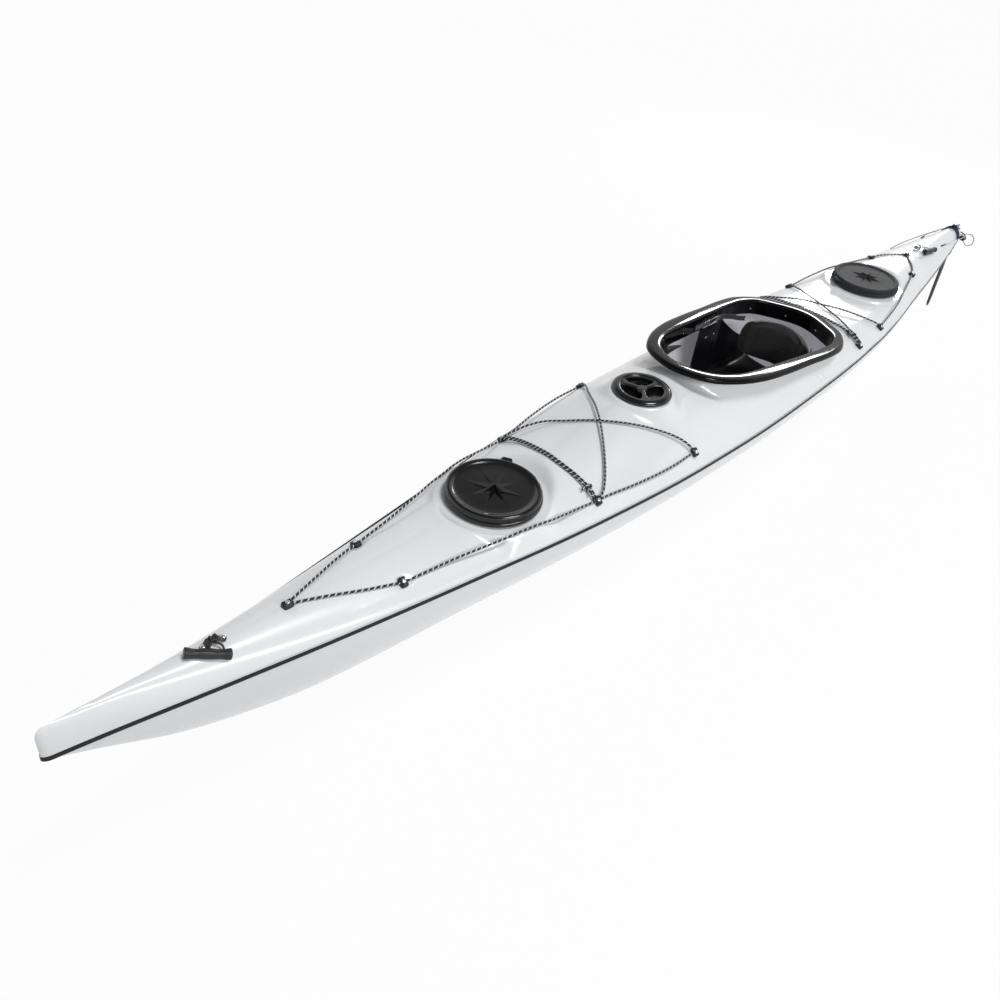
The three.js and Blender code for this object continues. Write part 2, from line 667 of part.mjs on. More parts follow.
function plateRing() {
  const p = plate;
  const seatRadius = p.lidRadius + 1.6;
  return ringLathe([
    [p.opening, -p.neckBelow], [p.opening + p.neck, -p.neckBelow], [p.opening + p.neck, fit.gap], [p.radius, fit.gap],
    [p.radius, p.flange], [p.radius - 4, p.flange + 5], [seatRadius, p.flange + 5], [seatRadius, p.flange - 1],
    [p.opening, p.flange - 1],
  ], p.sides).translate(p.x, 0, p.padTop);
}

function plateSeal() {
  const p = plate;
  const z = p.flange - 1 + fit.gap;
  return ringLathe([
    [p.opening + 2, z], [p.lidRadius - 1, z], [p.lidRadius - 1, z + p.sealHeight], [p.opening + 2, z + p.sealHeight],
  ], p.sides).translate(p.x, 0, p.padTop);
}

function plateLid() {
  const p = plate;
  const z = p.flange - 1 + 2 * fit.gap + p.sealHeight;
  const top = z + p.lidRim + 1;
  const plug = p.opening - 1;
  const [inner, outer] = [p.pocketOuter - 6, p.pocketOuter];
  const dish = lathe([
    [0, top - p.lidDepth - p.skin], [plug, top - p.lidDepth - p.skin], [plug, z], [p.lidRadius, z], [p.lidRadius, top],
    [outer, top], [inner, top - p.lidDepth], [0, top - p.lidDepth],
  ], p.sides);
  const grips = [0, 1, 2].map((k) => box(outer - 3, p.gripWidth, p.lidDepth + 1, half(outer - 3), 0, top - half(p.lidDepth) - 0.5)
    .rotateZ((2 * Math.PI * k) / 3 + p.gripTurn));
  return join(dish, ...grips).translate(p.x, 0, p.padTop);
}

// Seat: a bucket whose cheeks run up inside the riser wall

const openHalfWidth = (x) => {
  for (let i = 0; i < rimInner.length; i += 1) {
    const [a, b] = [rimInner[i], rimInner[(i + 1) % rimInner.length]];
    if (a.y > 0 && b.y > 0 && (a.x - x) * (b.x - x) <= 0) return mix(a.y, b.y, (x - a.x) / (b.x - a.x || 1));
  }
  return 0;
};

function seatSection(x, grow) {
  const s = seat;
  const along = (x - s.frontX) / (s.rearX - s.frontX);
  const cheek = Math.min(Math.max((s.cheekRearX - x) / (s.cheekRearX - s.rearX), 0), 1);
  const fade = 1 - Math.min(Math.max((s.cheekRearX - x) / 90, 0), 1);
  const top = mix(s.rearTop, rimZ(x) - coaming.wallDepth + 3, fade ** 0.6);
  const wide = mix(s.rearHalfWidth, openHalfWidth(Math.max(x, -620)) - 2 * fit.gap, 1 - cheek * 0.9) - grow;
  const pan = s.panZ + s.frontLip * (1 - along) ** 3 + s.rearRise * along ** 4 + grow;
  const floor = wide * s.panHalfWidthShare;
  const points = [];
  for (let j = 0; j <= s.across; j += 1) {
    const t = (2 * j) / s.across - 1;
    const side = Math.sign(t);
    const far = Math.abs(t);
    if (far > s.corner) {
      const up = (far - s.corner) / (1 - s.corner);
      points.push(v(x, side * mix(floor, wide, Math.min(up * 3, 1)), mix(pan + 14, top, up)));
    } else {
      const out = far / s.corner;
      points.push(v(x, side * floor * out, pan + 14 * out ** 3));
    }
  }
  return points;
}

function seatBucket() {
  const rows = [];
  for (let i = 0; i <= seat.steps; i += 1) rows.push(mix(seat.frontX, seat.rearX, i / seat.steps));
  return slab(rows.map((x) => seatSection(x, seat.wall)), rows.map((x) => seatSection(x, 0)));
}

function backBand() {
  const b = band;
  const [front, rear] = [[], []];
  for (let i = 0; i <= b.up; i += 1) {
    const u = i / b.up;
    const rise = b.bottomZ + b.height * u;
    const edge = Math.sin(Math.PI * Math.min(Math.max(u, 0.04), 0.96)) ** 0.4;
    const [near, far] = [[], []];
    for (let j = 0; j <= b.across; j += 1) {
      const t = (2 * j) / b.across - 1;
      const y = b.halfWidth * (0.9 + 0.1 * edge) * t;
      const x = b.x + b.wrap * t * t - b.lean * u;
      const thick = half(b.thickness) * mix(0.35, 1, edge * (1 - t ** 4) ** 0.5);
      near.push(v(x + thick, y, rise));
      far.push(v(x - thick, y, rise));
    }
    front.push(near);
    rear.push(far);
  }
  return slab(front, rear);
}

// Band strap along the riser wall, with its buckle
function bandStrap(side) {
  const [over, under] = [[], []];
  const onWall = [-244, -300, -360, -417, -462].map((x) => [x, openHalfWidth(x) - strap.sideGap, rimZ(x) - strap.drop]);
  const free = [[-510, 177, 312], [-545, 160, 303], [strap.endX, strap.endY + strap.thickness, strap.endZ]];
  for (const [x, y, z] of [...onWall, ...free]) {
    const inner = y - strap.thickness;
    over.push([v(x, side * inner, z + half(strap.width)), v(x, side * inner, z - half(strap.width))]);
    under.push([v(x, side * y, z + half(strap.width)), v(x, side * y, z - half(strap.width))]);
  }
  const x = -330;
  const y = openHalfWidth(x) - strap.sideGap - strap.thickness - half(strap.buckleThickness) + 1;
  const buckle = box(strap.buckle, strap.buckleThickness, strap.width + 6, x, side * y, rimZ(x) - strap.drop);
  return join(slab(over, under), buckle);
}

// Height of the underside of the deck
function underDeck(x, y) {
  const beam = lines.beam(x) - body.wall;
  const power = lines.deckPower(x);
  const rise = lines.crown(x) - body.wall - lines.sheer(x);
  return lines.sheer(x) + rise * (1 - (Math.abs(y) / beam) ** power) ** (1 / power);
}

function thighBrace(side) {
  const [over, under] = [[], []];
  for (let i = 0; i <= brace.steps; i += 1) {
    const x = mix(brace.frontX, brace.rearX, i / brace.steps);
    const start = openHalfWidth(x) - brace.hook;
    const wide = brace.width * Math.sin(Math.PI * mix(0.2, 0.8, i / brace.steps)) + brace.hook;
    const [upper, lower] = [[], []];
    for (let j = 0; j <= 4; j += 1) {
      const y = start + (wide * j) / 4;
      const past = Math.max(y - openHalfWidth(x) - coaming.wall, 0);
      const wallEdge = rimZ(x) - coaming.wallDepth - fit.gap - past * brace.fall;
      const z = Math.min(wallEdge, underDeck(x, y) - 7);
      upper.push(v(x, side * y, z));
      lower.push(v(x, side * y, z - brace.thickness));
    }
    over.push(upper);
    under.push(lower);
  }
  const [x, y] = [half(brace.frontX + brace.rearX), openHalfWidth(half(brace.frontX + brace.rearX)) + brace.hook];
  const block = box(brace.pad, brace.hook, 2 * brace.hook, x, side * y, underDeck(x, y));
  const pad = toManifold(block).intersect(cavity.translate([0, 0, -1.5 * fit.gap]));
  return join(slab(over, under), toGeometry(pad));
}

// A slice of the inside of the hull, drawn in a little all round
function bulkheadPlate(x) {
  const reach = 3 * body.halfBeam;
  const slice = toGeometry(cavity.intersect(toManifold(box(bulkhead.thickness, reach, reach, x, 0, body.sheerHeight))));
  const middle = half(lines.crown(x) + lines.keel(x));
  const shrink = 1 - bulkhead.clearance / lines.beam(x);
  return slice.translate(0, 0, -middle).scale(1, shrink, 1 - 2 * bulkhead.clearance / middle).translate(0, 0, middle);
}

// Half width of the hull's inner side at a height
function innerSide(x, z) {
  const beam = lines.beam(x) - body.wall;
  const sheer = lines.sheer(x);
  const depth = sheer - lines.keel(x) - body.wall;
  const flat = Math.min(body.keelFlat, body.keelFlatShare * beam);
  const power = lines.hullPower(x);
  return flat + (beam - flat) * (1 - ((sheer - z) / depth) ** power) ** (1 / power);
}

const railY = innerSide(rail.frontX, rail.z - half(rail.height)) - rail.boss - half(rail.thickness);

function footRail(side) {
  const length = rail.frontX - rail.rearX;
  const bar = box(length, rail.thickness, rail.height, half(rail.frontX + rail.rearX), side * railY, rail.z);
  const bosses = [rail.frontX - half(rail.inset), rail.rearX + half(rail.inset)].map((x) => (
    box(rail.inset - 6, body.halfBeam - railY, rail.bossHeight, x, side * half(body.halfBeam + railY), rail.z)
  ));
  const trimmed = toManifold(join(bar, ...bosses)).intersect(cavity);
  return toGeometry(trimmed).translate(0, -side * 2 * fit.gap, 0);
}

function footPedal(side) {
  const p = pedal;
  const clear = 0.5;
  const outerY = rail.thickness + 2 * p.grip;
  const block = box(p.carriage, outerY, rail.height + 2 * p.grip, p.x, side * railY, rail.z);
  const channel = box(2 * p.carriage, rail.thickness + 2 * clear, rail.height + 2 * clear, p.x, side * railY, rail.z);
  const mouth = box(2 * p.carriage, rail.thickness, rail.height - 2 * p.grip, p.x, side * (railY + rail.thickness), rail.z);
  const plateY = railY - half(outerY) - half(p.width) + 2;
  const foot = box(p.thickness, p.width, p.height, 0, 0, 0);
  const ridges = [-1, 0, 1].map((k) => box(3, p.width - 10, 5, -half(p.thickness) - 1, 0, k * 30));
  const pad = join(foot, ...ridges).rotateY((p.toeLean * Math.PI) / 180).translate(p.x, side * plateY, rail.z + p.rise);
  const arm = box(p.carriage * 0.5, 12, 26, p.x, side * (railY - half(outerY) - 3), rail.z);
  return cut(join(block, arm, pad), channel, mouth).translate(0, -side * 2 * fit.gap, 0);
}

// Grab toggles: a saddle with a bar, a loop of cord round the bar and a handle on the loop

function toggleSaddle({ x }) {
  const t = toggle;
  const [inner, outer] = [half(t.span), half(t.span) + t.footLength];
  const under = t.barTop - t.barHeight;
  const side = [
    [outer, 0], [outer, t.foot], [inner + 3, t.foot + 1.5], [inner - 3, t.barTop],
  ];
  const outline = [
    [-inner, 0], [-inner + 2, under], [inner - 2, under], [inner, 0], ...side,
    ...side.map(([along, up]) => [-along, up]).reverse(),
  ];
  const block = prism(outline, t.width).rotateX(half(Math.PI)).translate(0, half(t.width), 0);
  const spare = half(t.width - t.barWidth);
  const slims = [1, -1].map((way) => box(t.span - 8, spare, 3 * t.barTop, 0, way * half(t.width - spare), t.barTop));
  const lean = Math.atan2(deckPoint(x + t.span, 0).z - deckPoint(x - t.span, 0).z, 2 * t.span);
  return cut(block, ...slims).rotateY(-lean).translate(x, 0, deckPoint(x, 0).z + t.lift);
}

function handleEnds({ handle }) {
  return handle.map(([x, y]) => deckPoint(x, y).add(v(0, 0, toggle.handleRadius + 3.6)));
}

function togglePath(spot) {
  const t = toggle;
  const [a, b] = handleEnds(spot);
  const along = b.clone().sub(a).normalize();
  const middle = a.clone().add(b).multiplyScalar(0.5);
  const centre = v(spot.wrapX, 0, deckPoint(spot.wrapX, 0).z + t.lift + t.barTop - half(t.barHeight));
  const near = (share, rise, step) => centre.clone().lerp(middle, share).add(v(0, 0, rise)).addScaledVector(along, step);
  const ring = [-0.35, -0.5, -0.75, -1, 1, 0.75, 0.5, 0.3];
  const wrap = ring.map((turn) => {
    const angle = turn * Math.PI;
    return v(centre.x + turn * 1.2, centre.y + t.wrap * Math.cos(angle), centre.z + t.wrap * Math.sin(angle));
  }).filter((_, k) => k !== 4);
  return [middle.clone().addScaledVector(along, 4), near(0.72, -1, 4), ...wrap, near(0.72, 1.5, -4),
    middle.clone().addScaledVector(along, -4)];
}

function toggleHandle(spot) {
  const [a, b] = handleEnds(spot);
  const length = half(a.distanceTo(b));
  const [full, slim] = [toggle.handleRadius, toggle.handleRadius * 0.75];
  const grip = lathe([
    [0, -length], [full * 0.8, -length], [full, -length + 6], [slim, -length * 0.4], [full * 0.85, 0], [slim, length * 0.4],
    [full, length - 6], [full * 0.8, length], [0, length],
  ], 10);
  grip.applyQuaternion(new THREE.Quaternion().setFromUnitVectors(v(0, 0, 1), b.clone().sub(a).normalize()));
  const middle = a.clone().add(b).multiplyScalar(0.5);
  return grip.translate(middle.x, middle.y, middle.z);
}

// Rudder: bracket with its pintles, yoke, blade on a bolt, lines

function rudderBracket() {
  const r = rudder;
  const height = r.bracketHigh - r.bracketLow;
  const middle = half(r.bracketHigh + r.bracketLow);
  const face = body.sternX - 2 * fit.gap;
  const flange = box(r.mount, r.postWidth, height, face - half(r.mount), 0, middle);
  const web = box(face - r.axisX - half(r.mount), r.barrel, height, half(face - half(r.mount) + r.axisX), 0, middle);
  const end = half(height);
  const barrel = lathe([
    [0, -end - r.pintleReach], [r.pintle, -end - r.pintleReach], [r.pintle, -end], [r.barrel, -end], [r.barrel, end],
    [r.pintle, end], [r.pintle, end + r.pintleReach], [0, end + r.pintleReach],
  ], 16).translate(r.axisX, 0, middle);
  return join(flange, web, barrel);
}

function boltHole() {
  const r = rudder;
  const radius = r.boltRadius + fit.gap;
  return new THREE.CylinderGeometry(radius, radius, 4 * r.yokeWidth, 12).translate(r.hingeX, 0, r.hingeZ);
}

function rudderYoke() {
  const r = rudder;
  const armX = r.axisX + r.barrel - 1 - half(r.armLength);
  const armHigh = box(r.armLength, r.yokeWidth, r.arm, armX, 0, r.bracketHigh + r.gap + half(r.arm));
  const armLow = box(r.armLength, r.yokeWidth, r.arm, armX, 0, r.bracketLow - r.gap - half(r.arm));
  const spineHeight = r.bracketHigh - r.bracketLow + 2 * r.arm;
  const spine = box(r.spine, r.yokeWidth - 6, spineHeight, r.axisX - r.spineBack, 0, half(r.bracketHigh + r.bracketLow));
  const [tip, root] = [r.pintle, r.barrel + 2];
  const cross = prism([
    [-tip, -r.crossArm], [tip, -r.crossArm], [root, 0], [tip, r.crossArm], [-tip, r.crossArm], [-root, 0],
  ], r.crossArmHeight).translate(r.axisX - r.barrel, 0, r.bracketHigh + r.gap + r.arm - r.crossArmHeight);
  const cheekY = half(r.bladeThickness) + fit.gap + half(r.cheek);
  const cheekLow = r.hingeZ - r.barrel - 2;
  const cheeks = [1, -1].map((side) => box(r.cheekLength, r.cheek, r.cheekTop - cheekLow, r.hingeX, side * cheekY,
    half(r.cheekTop + cheekLow)));
  const pintleHole = new THREE.CylinderGeometry(r.pintle + r.gap, r.pintle + r.gap, 2 * r.bracketHigh, 16)
    .rotateX(half(Math.PI)).translate(r.axisX, 0, r.bracketHigh);
  return cut(join(armHigh, armLow, spine, cross, ...cheeks), pintleHole, boltHole());
}

// One row a level: share of the blade's length down from the hinge, then width and thickness
const bladeShares = [
  [0.00, 0.55, 0.9], [0.09, 0.55, 0.9], [0.20, 1.00, 1.0], [0.45, 0.97, 0.9], [0.75, 0.90, 0.7],
  [0.93, 0.80, 0.5], [0.98, 0.62, 0.4], [1.00, 0.36, 0.3],
];
const foilShares = [0.25, 0.85, 1, 0.7, 0.15];

function rudderBlade() {
  const r = rudder;
  const sides = [1, -1].map((side) => bladeShares.map(([down, width, thickness]) => {
    const middle = r.hingeX - r.bladeSweep * down ** 1.3;
    const z = r.hingeZ - r.bladeLength * down;
    return foilShares.map((fullness, j) => {
      const back = (j / (foilShares.length - 1) - 0.5) * r.bladeWidth * width;
      return v(middle - back, half(side * r.bladeThickness * thickness * fullness), z);
    });
  }));
  const head = new THREE.CylinderGeometry(r.headRadius, r.headRadius, r.bladeThickness, 16)
    .translate(r.hingeX, 0, r.hingeZ);
  return cut(join(slab(...sides), head), boltHole());
}

function bladeBolt() {
  const r = rudder;
  const reach = half(r.bladeThickness) + 2 * fit.gap + r.cheek;
  const [head, headRadius] = [r.boltRadius, 2 * r.boltRadius - 1];
  return lathe([
    [0, -reach - head], [headRadius, -reach - head], [headRadius, -reach], [r.boltRadius, -reach],
    [r.boltRadius, reach], [headRadius, reach], [headRadius, reach + head], [0, reach + head],
  ], 12).rotateX(half(Math.PI)).translate(r.hingeX, 0, r.hingeZ);
}

const steering = {
  cable: (side) => [
    v(-2015, side * 52, deckPoint(-2015, 52).z + 2.4), v(-2100, side * 57, 318), v(-2220, side * 57, 300),
    v(rudder.axisX - rudder.barrel, side * (rudder.crossArm - 6), rudder.bracketHigh + rudder.arm + 2.6),
  ],
  uphaul: [
    [-1771, -93, 3.6], [-1900, -84, 3.6], [-2050, -62, 3.6], [-2180, -38, 3.6], [-2270, -20, 3.6],
  ],
  loop: [
    [-2388.6, 5, 262], [-2410, 16, 258], [-2426, 30, 234], [-2440, 50, 216], [-2448, 68, 226],
    [-2444, 72, 254], [-2432, 54, 276], [-2412, 28, 276], [-2388.6, 4, 268.6],
  ],
};

// The whole boat

const gelcoat = () => finish(colour.gelcoat, 0.22);
const plastic = () => finish(colour.black, 0.5);
const rubber = () => finish(colour.rubber, 0.7);
const line = () => finish(colour.line, 0.85);

add('hull_shell', hullShell, gelcoat());
add('deck_shell', deckShell, gelcoat());
add('seam_strip', seamStrip(), plastic());
add('cockpit_coaming', cockpitCoaming(), finish(colour.fibre, 0.35));
add('seat', seatBucket(), finish(colour.fibre, 0.4));
add('back_band', backBand(), finish(colour.foam, 0.9));
add('band_strap_port', bandStrap(1), finish(colour.black, 0.8));
add('band_strap_starboard', bandStrap(-1), finish(colour.black, 0.8));
add('thigh_brace_port', thighBrace(1), plastic());
add('thigh_brace_starboard', thighBrace(-1), plastic());
add('fore_bulkhead', bulkheadPlate(bulkhead.foreX), finish(colour.inner, 0.6));
add('aft_bulkhead', bulkheadPlate(bulkhead.aftX), finish(colour.inner, 0.6));
add('foot_rail_port', footRail(1), plastic());
add('foot_rail_starboard', footRail(-1), plastic());
add('foot_pedal_port', footPedal(1), plastic());
add('foot_pedal_starboard', footPedal(-1), plastic());
add('bow_hatch_rim', hatchRim(hatch.bowX), plastic());
add('stern_hatch_rim', hatchRim(hatch.sternX), plastic());
add('bow_hatch_cover', hatchCover(hatch.bowX, -half(Math.PI)), rubber());
add('stern_hatch_cover', hatchCover(hatch.sternX, half(Math.PI)), rubber());
add('deck_plate_ring', plateRing(), plastic());
add('deck_plate_seal', plateSeal(), rubber());
add('deck_plate_lid', plateLid(), plastic());

for (const [name, [x, y]] of Object.entries(places)) {
  const label = name.replace(/[A-Z]/g, (letter) => `_${letter.toLowerCase()}`);
  if (y === 0) {
    add(`line_fitting_${label}`, deckFitting([x, y]), plastic());
  } else {
    add(`line_fitting_${label}_port`, deckFitting([x, y]), plastic());
    add(`line_fitting_${label}_starboard`, deckFitting([x, -y]), plastic());
  }
}
for (const [name, { solid: piece }] of Object.entries(cords)) add(name, piece, line());

for (const [end, spot] of Object.entries(togglePlaces)) {
  const path = togglePath(spot);
  const steps = 22;
  const grown = tube(path, toggle.cordDiameter + 2 * fit.gap, steps, cord.sides);
  add(`${end}_toggle_saddle`, toggleSaddle(spot), plastic());
  add(`${end}_toggle_cord`, tube(path, toggle.cordDiameter, steps, cord.sides), line());
  add(`${end}_toggle_handle`, cut(toggleHandle(spot), grown), plastic());
}

add('rudder_bracket', rudderBracket(), plastic());
add('rudder_yoke', rudderYoke(), plastic());
add('rudder_blade', rudderBlade(), plastic());
add('rudder_blade_bolt', bladeBolt(), finish(colour.steel, 0.3, 1));
add('rudder_cable_port', tube(steering.cable(1), wire.diameter, 8, wire.sides), finish(colour.steel, 0.35, 1));
add('rudder_cable_starboard', tube(steering.cable(-1), wire.diameter, 8, wire.sides), finish(colour.steel, 0.35, 1));
add('uphaul_line', tube(cordPath(steering.uphaul, 14), 4, 14, cord.sides), line());
add('uphaul_loop', tube(steering.loop.map(([x, y, z]) => v(x, y, z)), wire.diameter, 16, wire.sides),
  finish(colour.greyRubber, 0.5));

export default kayak;
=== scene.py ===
import json
import math

import bpy
import numpy as np
from mathutils import Matrix, Vector


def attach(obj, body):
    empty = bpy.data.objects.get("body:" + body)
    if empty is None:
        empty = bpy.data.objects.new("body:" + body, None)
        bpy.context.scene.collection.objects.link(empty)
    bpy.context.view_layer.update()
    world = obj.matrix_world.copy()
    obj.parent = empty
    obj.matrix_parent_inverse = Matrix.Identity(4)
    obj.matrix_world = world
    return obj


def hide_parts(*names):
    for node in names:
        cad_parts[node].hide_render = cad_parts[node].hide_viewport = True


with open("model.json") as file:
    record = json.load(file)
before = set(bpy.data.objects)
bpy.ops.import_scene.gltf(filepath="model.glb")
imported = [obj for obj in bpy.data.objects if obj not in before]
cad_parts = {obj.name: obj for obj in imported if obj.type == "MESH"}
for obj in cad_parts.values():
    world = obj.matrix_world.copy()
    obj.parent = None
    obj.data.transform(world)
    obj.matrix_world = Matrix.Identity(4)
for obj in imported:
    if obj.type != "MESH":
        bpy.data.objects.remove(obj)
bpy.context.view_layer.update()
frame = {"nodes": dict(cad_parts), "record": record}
bothSides = ((1, "port"), (-1, "starboard"))
print("frame loaded:", len(frame["nodes"]), "nodes")

# Camera, from a fit to the hull's outline, the hatches and the rim

view = {"place": (2.673, 1.329, 1.994), "turn": (50.8596, -6.3266, 133.5729), "lens": 34.147}

bpy.ops.object.select_all(action="DESELECT")
bpy.ops.object.camera_add(location=view["place"], rotation=[math.radians(a) for a in view["turn"]])
camera = bpy.context.object
camera.name = "viewCamera"
camera.data.lens = view["lens"]
camera.data.sensor_width = 36
bpy.context.scene.camera = camera

# Making and shaping meshes


def solo(piece):
    if bpy.context.object and bpy.context.object.mode != "OBJECT":
        bpy.ops.object.mode_set(mode="OBJECT")
    bpy.ops.object.select_all(action="DESELECT")
    piece.select_set(True)
    bpy.context.view_layer.objects.active = piece
    return piece


def named(name):
    piece = bpy.context.object
    piece.name = piece.data.name = name
    return piece


def added(name, primitive, **settings):
    bpy.ops.object.select_all(action="DESELECT")
    primitive(**settings)
    return named(name)


def readPoints(piece):
    points = np.empty(len(piece.data.vertices) * 3)
    piece.data.vertices.foreach_get("co", points)
    return points.reshape(-1, 3)


def writePoints(piece, points):
    piece.data.vertices.foreach_set("co", np.asarray(points, float).ravel())
    piece.data.update()
    return piece


def inEditMode(piece, *steps):
    solo(piece)
    bpy.ops.object.mode_set(mode="EDIT")
    bpy.ops.mesh.select_all(action="SELECT")
    for step in steps:
        step()
    bpy.ops.object.mode_set(mode="OBJECT")
    return piece


def weld(piece, reach=1e-5):
    return inEditMode(
        piece,
        lambda: bpy.ops.mesh.remove_doubles(threshold=reach),
        lambda: bpy.ops.mesh.normals_make_consistent(inside=False),
    )


def applyModifier(piece, kind, **settings):
    solo(piece)
    modifier = piece.modifiers.new(kind.lower(), kind)
    for key, value in settings.items():
        setattr(modifier, key, value)
    bpy.ops.object.modifier_apply(modifier=modifier.name)
    return piece


def smooth(piece, degrees=38):
    solo(piece)
    bpy.ops.object.shade_smooth_by_angle(angle=math.radians(degrees))
    return piece


def joined(name, *pieces):
    solo(pieces[0])
    for piece in pieces[1:]:
        piece.select_set(True)
    if len(pieces) > 1:
        bpy.ops.object.join()
    return named(name)


def copied(piece, name):
    twin = piece.copy()
    twin.data = piece.data.copy()
    twin.name = twin.data.name = name
    bpy.context.scene.collection.objects.link(twin)
    return twin


def gridSheet(name, points, width=1.0, length=1.0):
    # a grid primitive whose points are laid out as given: rows of equal length
    points = np.asarray(points, float)
    rows, columns = points.shape[:2]
    sheet = added(name, bpy.ops.mesh.primitive_grid_add, x_subdivisions=columns - 1,
                  y_subdivisions=rows - 1, size=2)
    writePoints(sheet, points.reshape(-1, 3))
    layer = sheet.data.uv_layers[0].data
    uv = np.empty(len(layer) * 2)
    layer.foreach_get("uv", uv)
    layer.foreach_set("uv", (uv.reshape(-1, 2) * (length, width)).ravel())
    return sheet


def turned(name, profile, sides, place=(0, 0, 0), ring=False):
    # a circle that is extruded and scaled from one profile point (radius, height) to the next
    radius, height = profile[0]
    piece = added(name, bpy.ops.mesh.primitive_circle_add, vertices=sides, radius=max(radius, 1e-5),
                  fill_type="NOTHING" if ring else "NGON")
    bpy.ops.object.mode_set(mode="EDIT")
    bpy.ops.mesh.select_all(action="SELECT")
    bpy.ops.transform.translate(value=(0, 0, height))
    for nextRadius, nextHeight in profile[1:]:
        bpy.ops.mesh.extrude_region_move(TRANSFORM_OT_translate={"value": (0, 0, nextHeight - height)})
        share = max(nextRadius, 1e-5) / max(radius, 1e-5)
        bpy.ops.transform.resize(value=(share, share, 1), center_override=(0, 0, nextHeight))
        radius, height = nextRadius, nextHeight
    bpy.ops.object.mode_set(mode="OBJECT")
    writePoints(piece, readPoints(piece) + place)
    return weld(piece, 3e-5)


def block(name, size, bevel=0.0, segments=2, place=(0, 0, 0)):
    piece = added(name, bpy.ops.mesh.primitive_cube_add, size=1)
    writePoints(piece, readPoints(piece) * size + place)
    if bevel:
        inEditMode(piece, lambda: bpy.ops.mesh.bevel(offset=bevel, segments=segments, affect="EDGES"))
    return piece


def moved(piece, matrix):
    piece.data.transform(matrix)
    piece.data.update()
    return piece


def rounded(outline, radius, steps=4, closed=True):
    # rounds the corners of an outline of (a, b) points
    outline = np.asarray(outline, float)
    count = len(outline)
    points = []
    for k, corner in enumerate(outline):
        if not closed and k in (0, count - 1):
            points.append(corner)
            continue
        before, after = outline[k - 1] - corner, outline[(k + 1) % count] - corner
        reach = min(radius, 0.48 * np.hypot(*before), 0.48 * np.hypot(*after))
        start, end = corner + before / np.hypot(*before) * reach, corner + after / np.hypot(*after) * reach
        for t in np.linspace(0, 1, steps + 1):
            points.append((1 - t) ** 2 * start + 2 * t * (1 - t) * corner + t * t * end)
    return np.array(points)


def arrays(*values):
    return [np.atleast_1d(np.asarray(value, float)) for value in values]


def closedUp(rows):
    return np.concatenate([rows, rows[:1]])


def runAlong(points):
    # the length of the path up to each of its points
    return np.concatenate([[0], np.cumsum(np.linalg.norm(np.diff(points, axis=0), axis=1))])


def throughPoints(points, count, closed=False):
    # a smooth curve through the points, as evenly spaced points
    points = np.asarray(points, float)
    if closed:
        points = np.concatenate([points[-1:], points, points[:2]])
    else:
        points = np.concatenate([2 * points[:1] - points[1:2], points, 2 * points[-1:] - points[-2:-1]])
    line = []
    for a, b, c, d in zip(points[:-3], points[1:-2], points[2:-1], points[3:]):
        knots = [max(np.linalg.norm(q - p), 1e-9) ** 0.5 for p, q in ((a, b), (b, c), (c, d))]
        first = ((b - a) / knots[0] - (c - a) / (knots[0] + knots[1]) + (c - b) / knots[1]) * knots[1]
        last = ((c - b) / knots[1] - (d - b) / (knots[1] + knots[2]) + (d - c) / knots[2]) * knots[1]
        for t in np.linspace(0, 1, 24, endpoint=False):
            line.append((2 * t**3 - 3 * t**2 + 1) * b + (t**3 - 2 * t**2 + t) * first
                        + (3 * t**2 - 2 * t**3) * c + (t**3 - t**2) * last)
    line = np.array(line + [points[-2]])
    run = runAlong(line)
    places = np.linspace(0, run[-1], count, endpoint=not closed)
    return np.stack([np.interp(places, run, line[:, k]) for k in range(line.shape[1])], axis=1)


def tube(name, path, diameter, sides=12, bulge=None):
    # a round tube along a path, with its length and its turn in the UV map; bulge scales its radius
    path = np.asarray(path, float)
    count = len(path)
    ahead = np.gradient(path, axis=0)
    ahead /= np.linalg.norm(ahead, axis=1)[:, None]
    side = np.cross(ahead[0], (0, 0, 1) if abs(ahead[0][2]) < 0.9 else (1, 0, 0))
    frames = []
    for k in range(count):
        side = side - ahead[k] * np.dot(side, ahead[k])
        side /= np.linalg.norm(side)
        frames.append((side, np.cross(ahead[k], side)))
    run = runAlong(path)
    scale = np.ones(count) if bulge is None else np.asarray(bulge)
    rings = []
    for turn in np.linspace(0, 2 * math.pi, sides + 1):
        ring = [p + 0.5 * diameter * s * (math.cos(turn) * a + math.sin(turn) * b)
                for p, s, (a, b) in zip(path, scale, frames)]
        rings.append([path[0], *ring, path[-1]])
    piece = gridSheet(name, rings, 1.0, run[-1])
    return smooth(weld(piece, 2e-6), 60)


# Turning a piece made upright at the origin so that it stands on a surface


def placed(point, along, up):
    turn = Matrix((along, up.cross(along), up)).transposed().to_4x4()
    return Matrix.Translation(Vector(point)) @ turn


def standing(point, normal, heading):
    up = Vector(normal).normalized()
    along = Vector((heading[0], heading[1], 0))
    return placed(point, (along - up * along.dot(up)).normalized(), up)


def signedPower(value, power):
    return math.copysign(abs(value) ** power, value)


# Materials: a socket that takes part in sums, and a board that wires the nodes


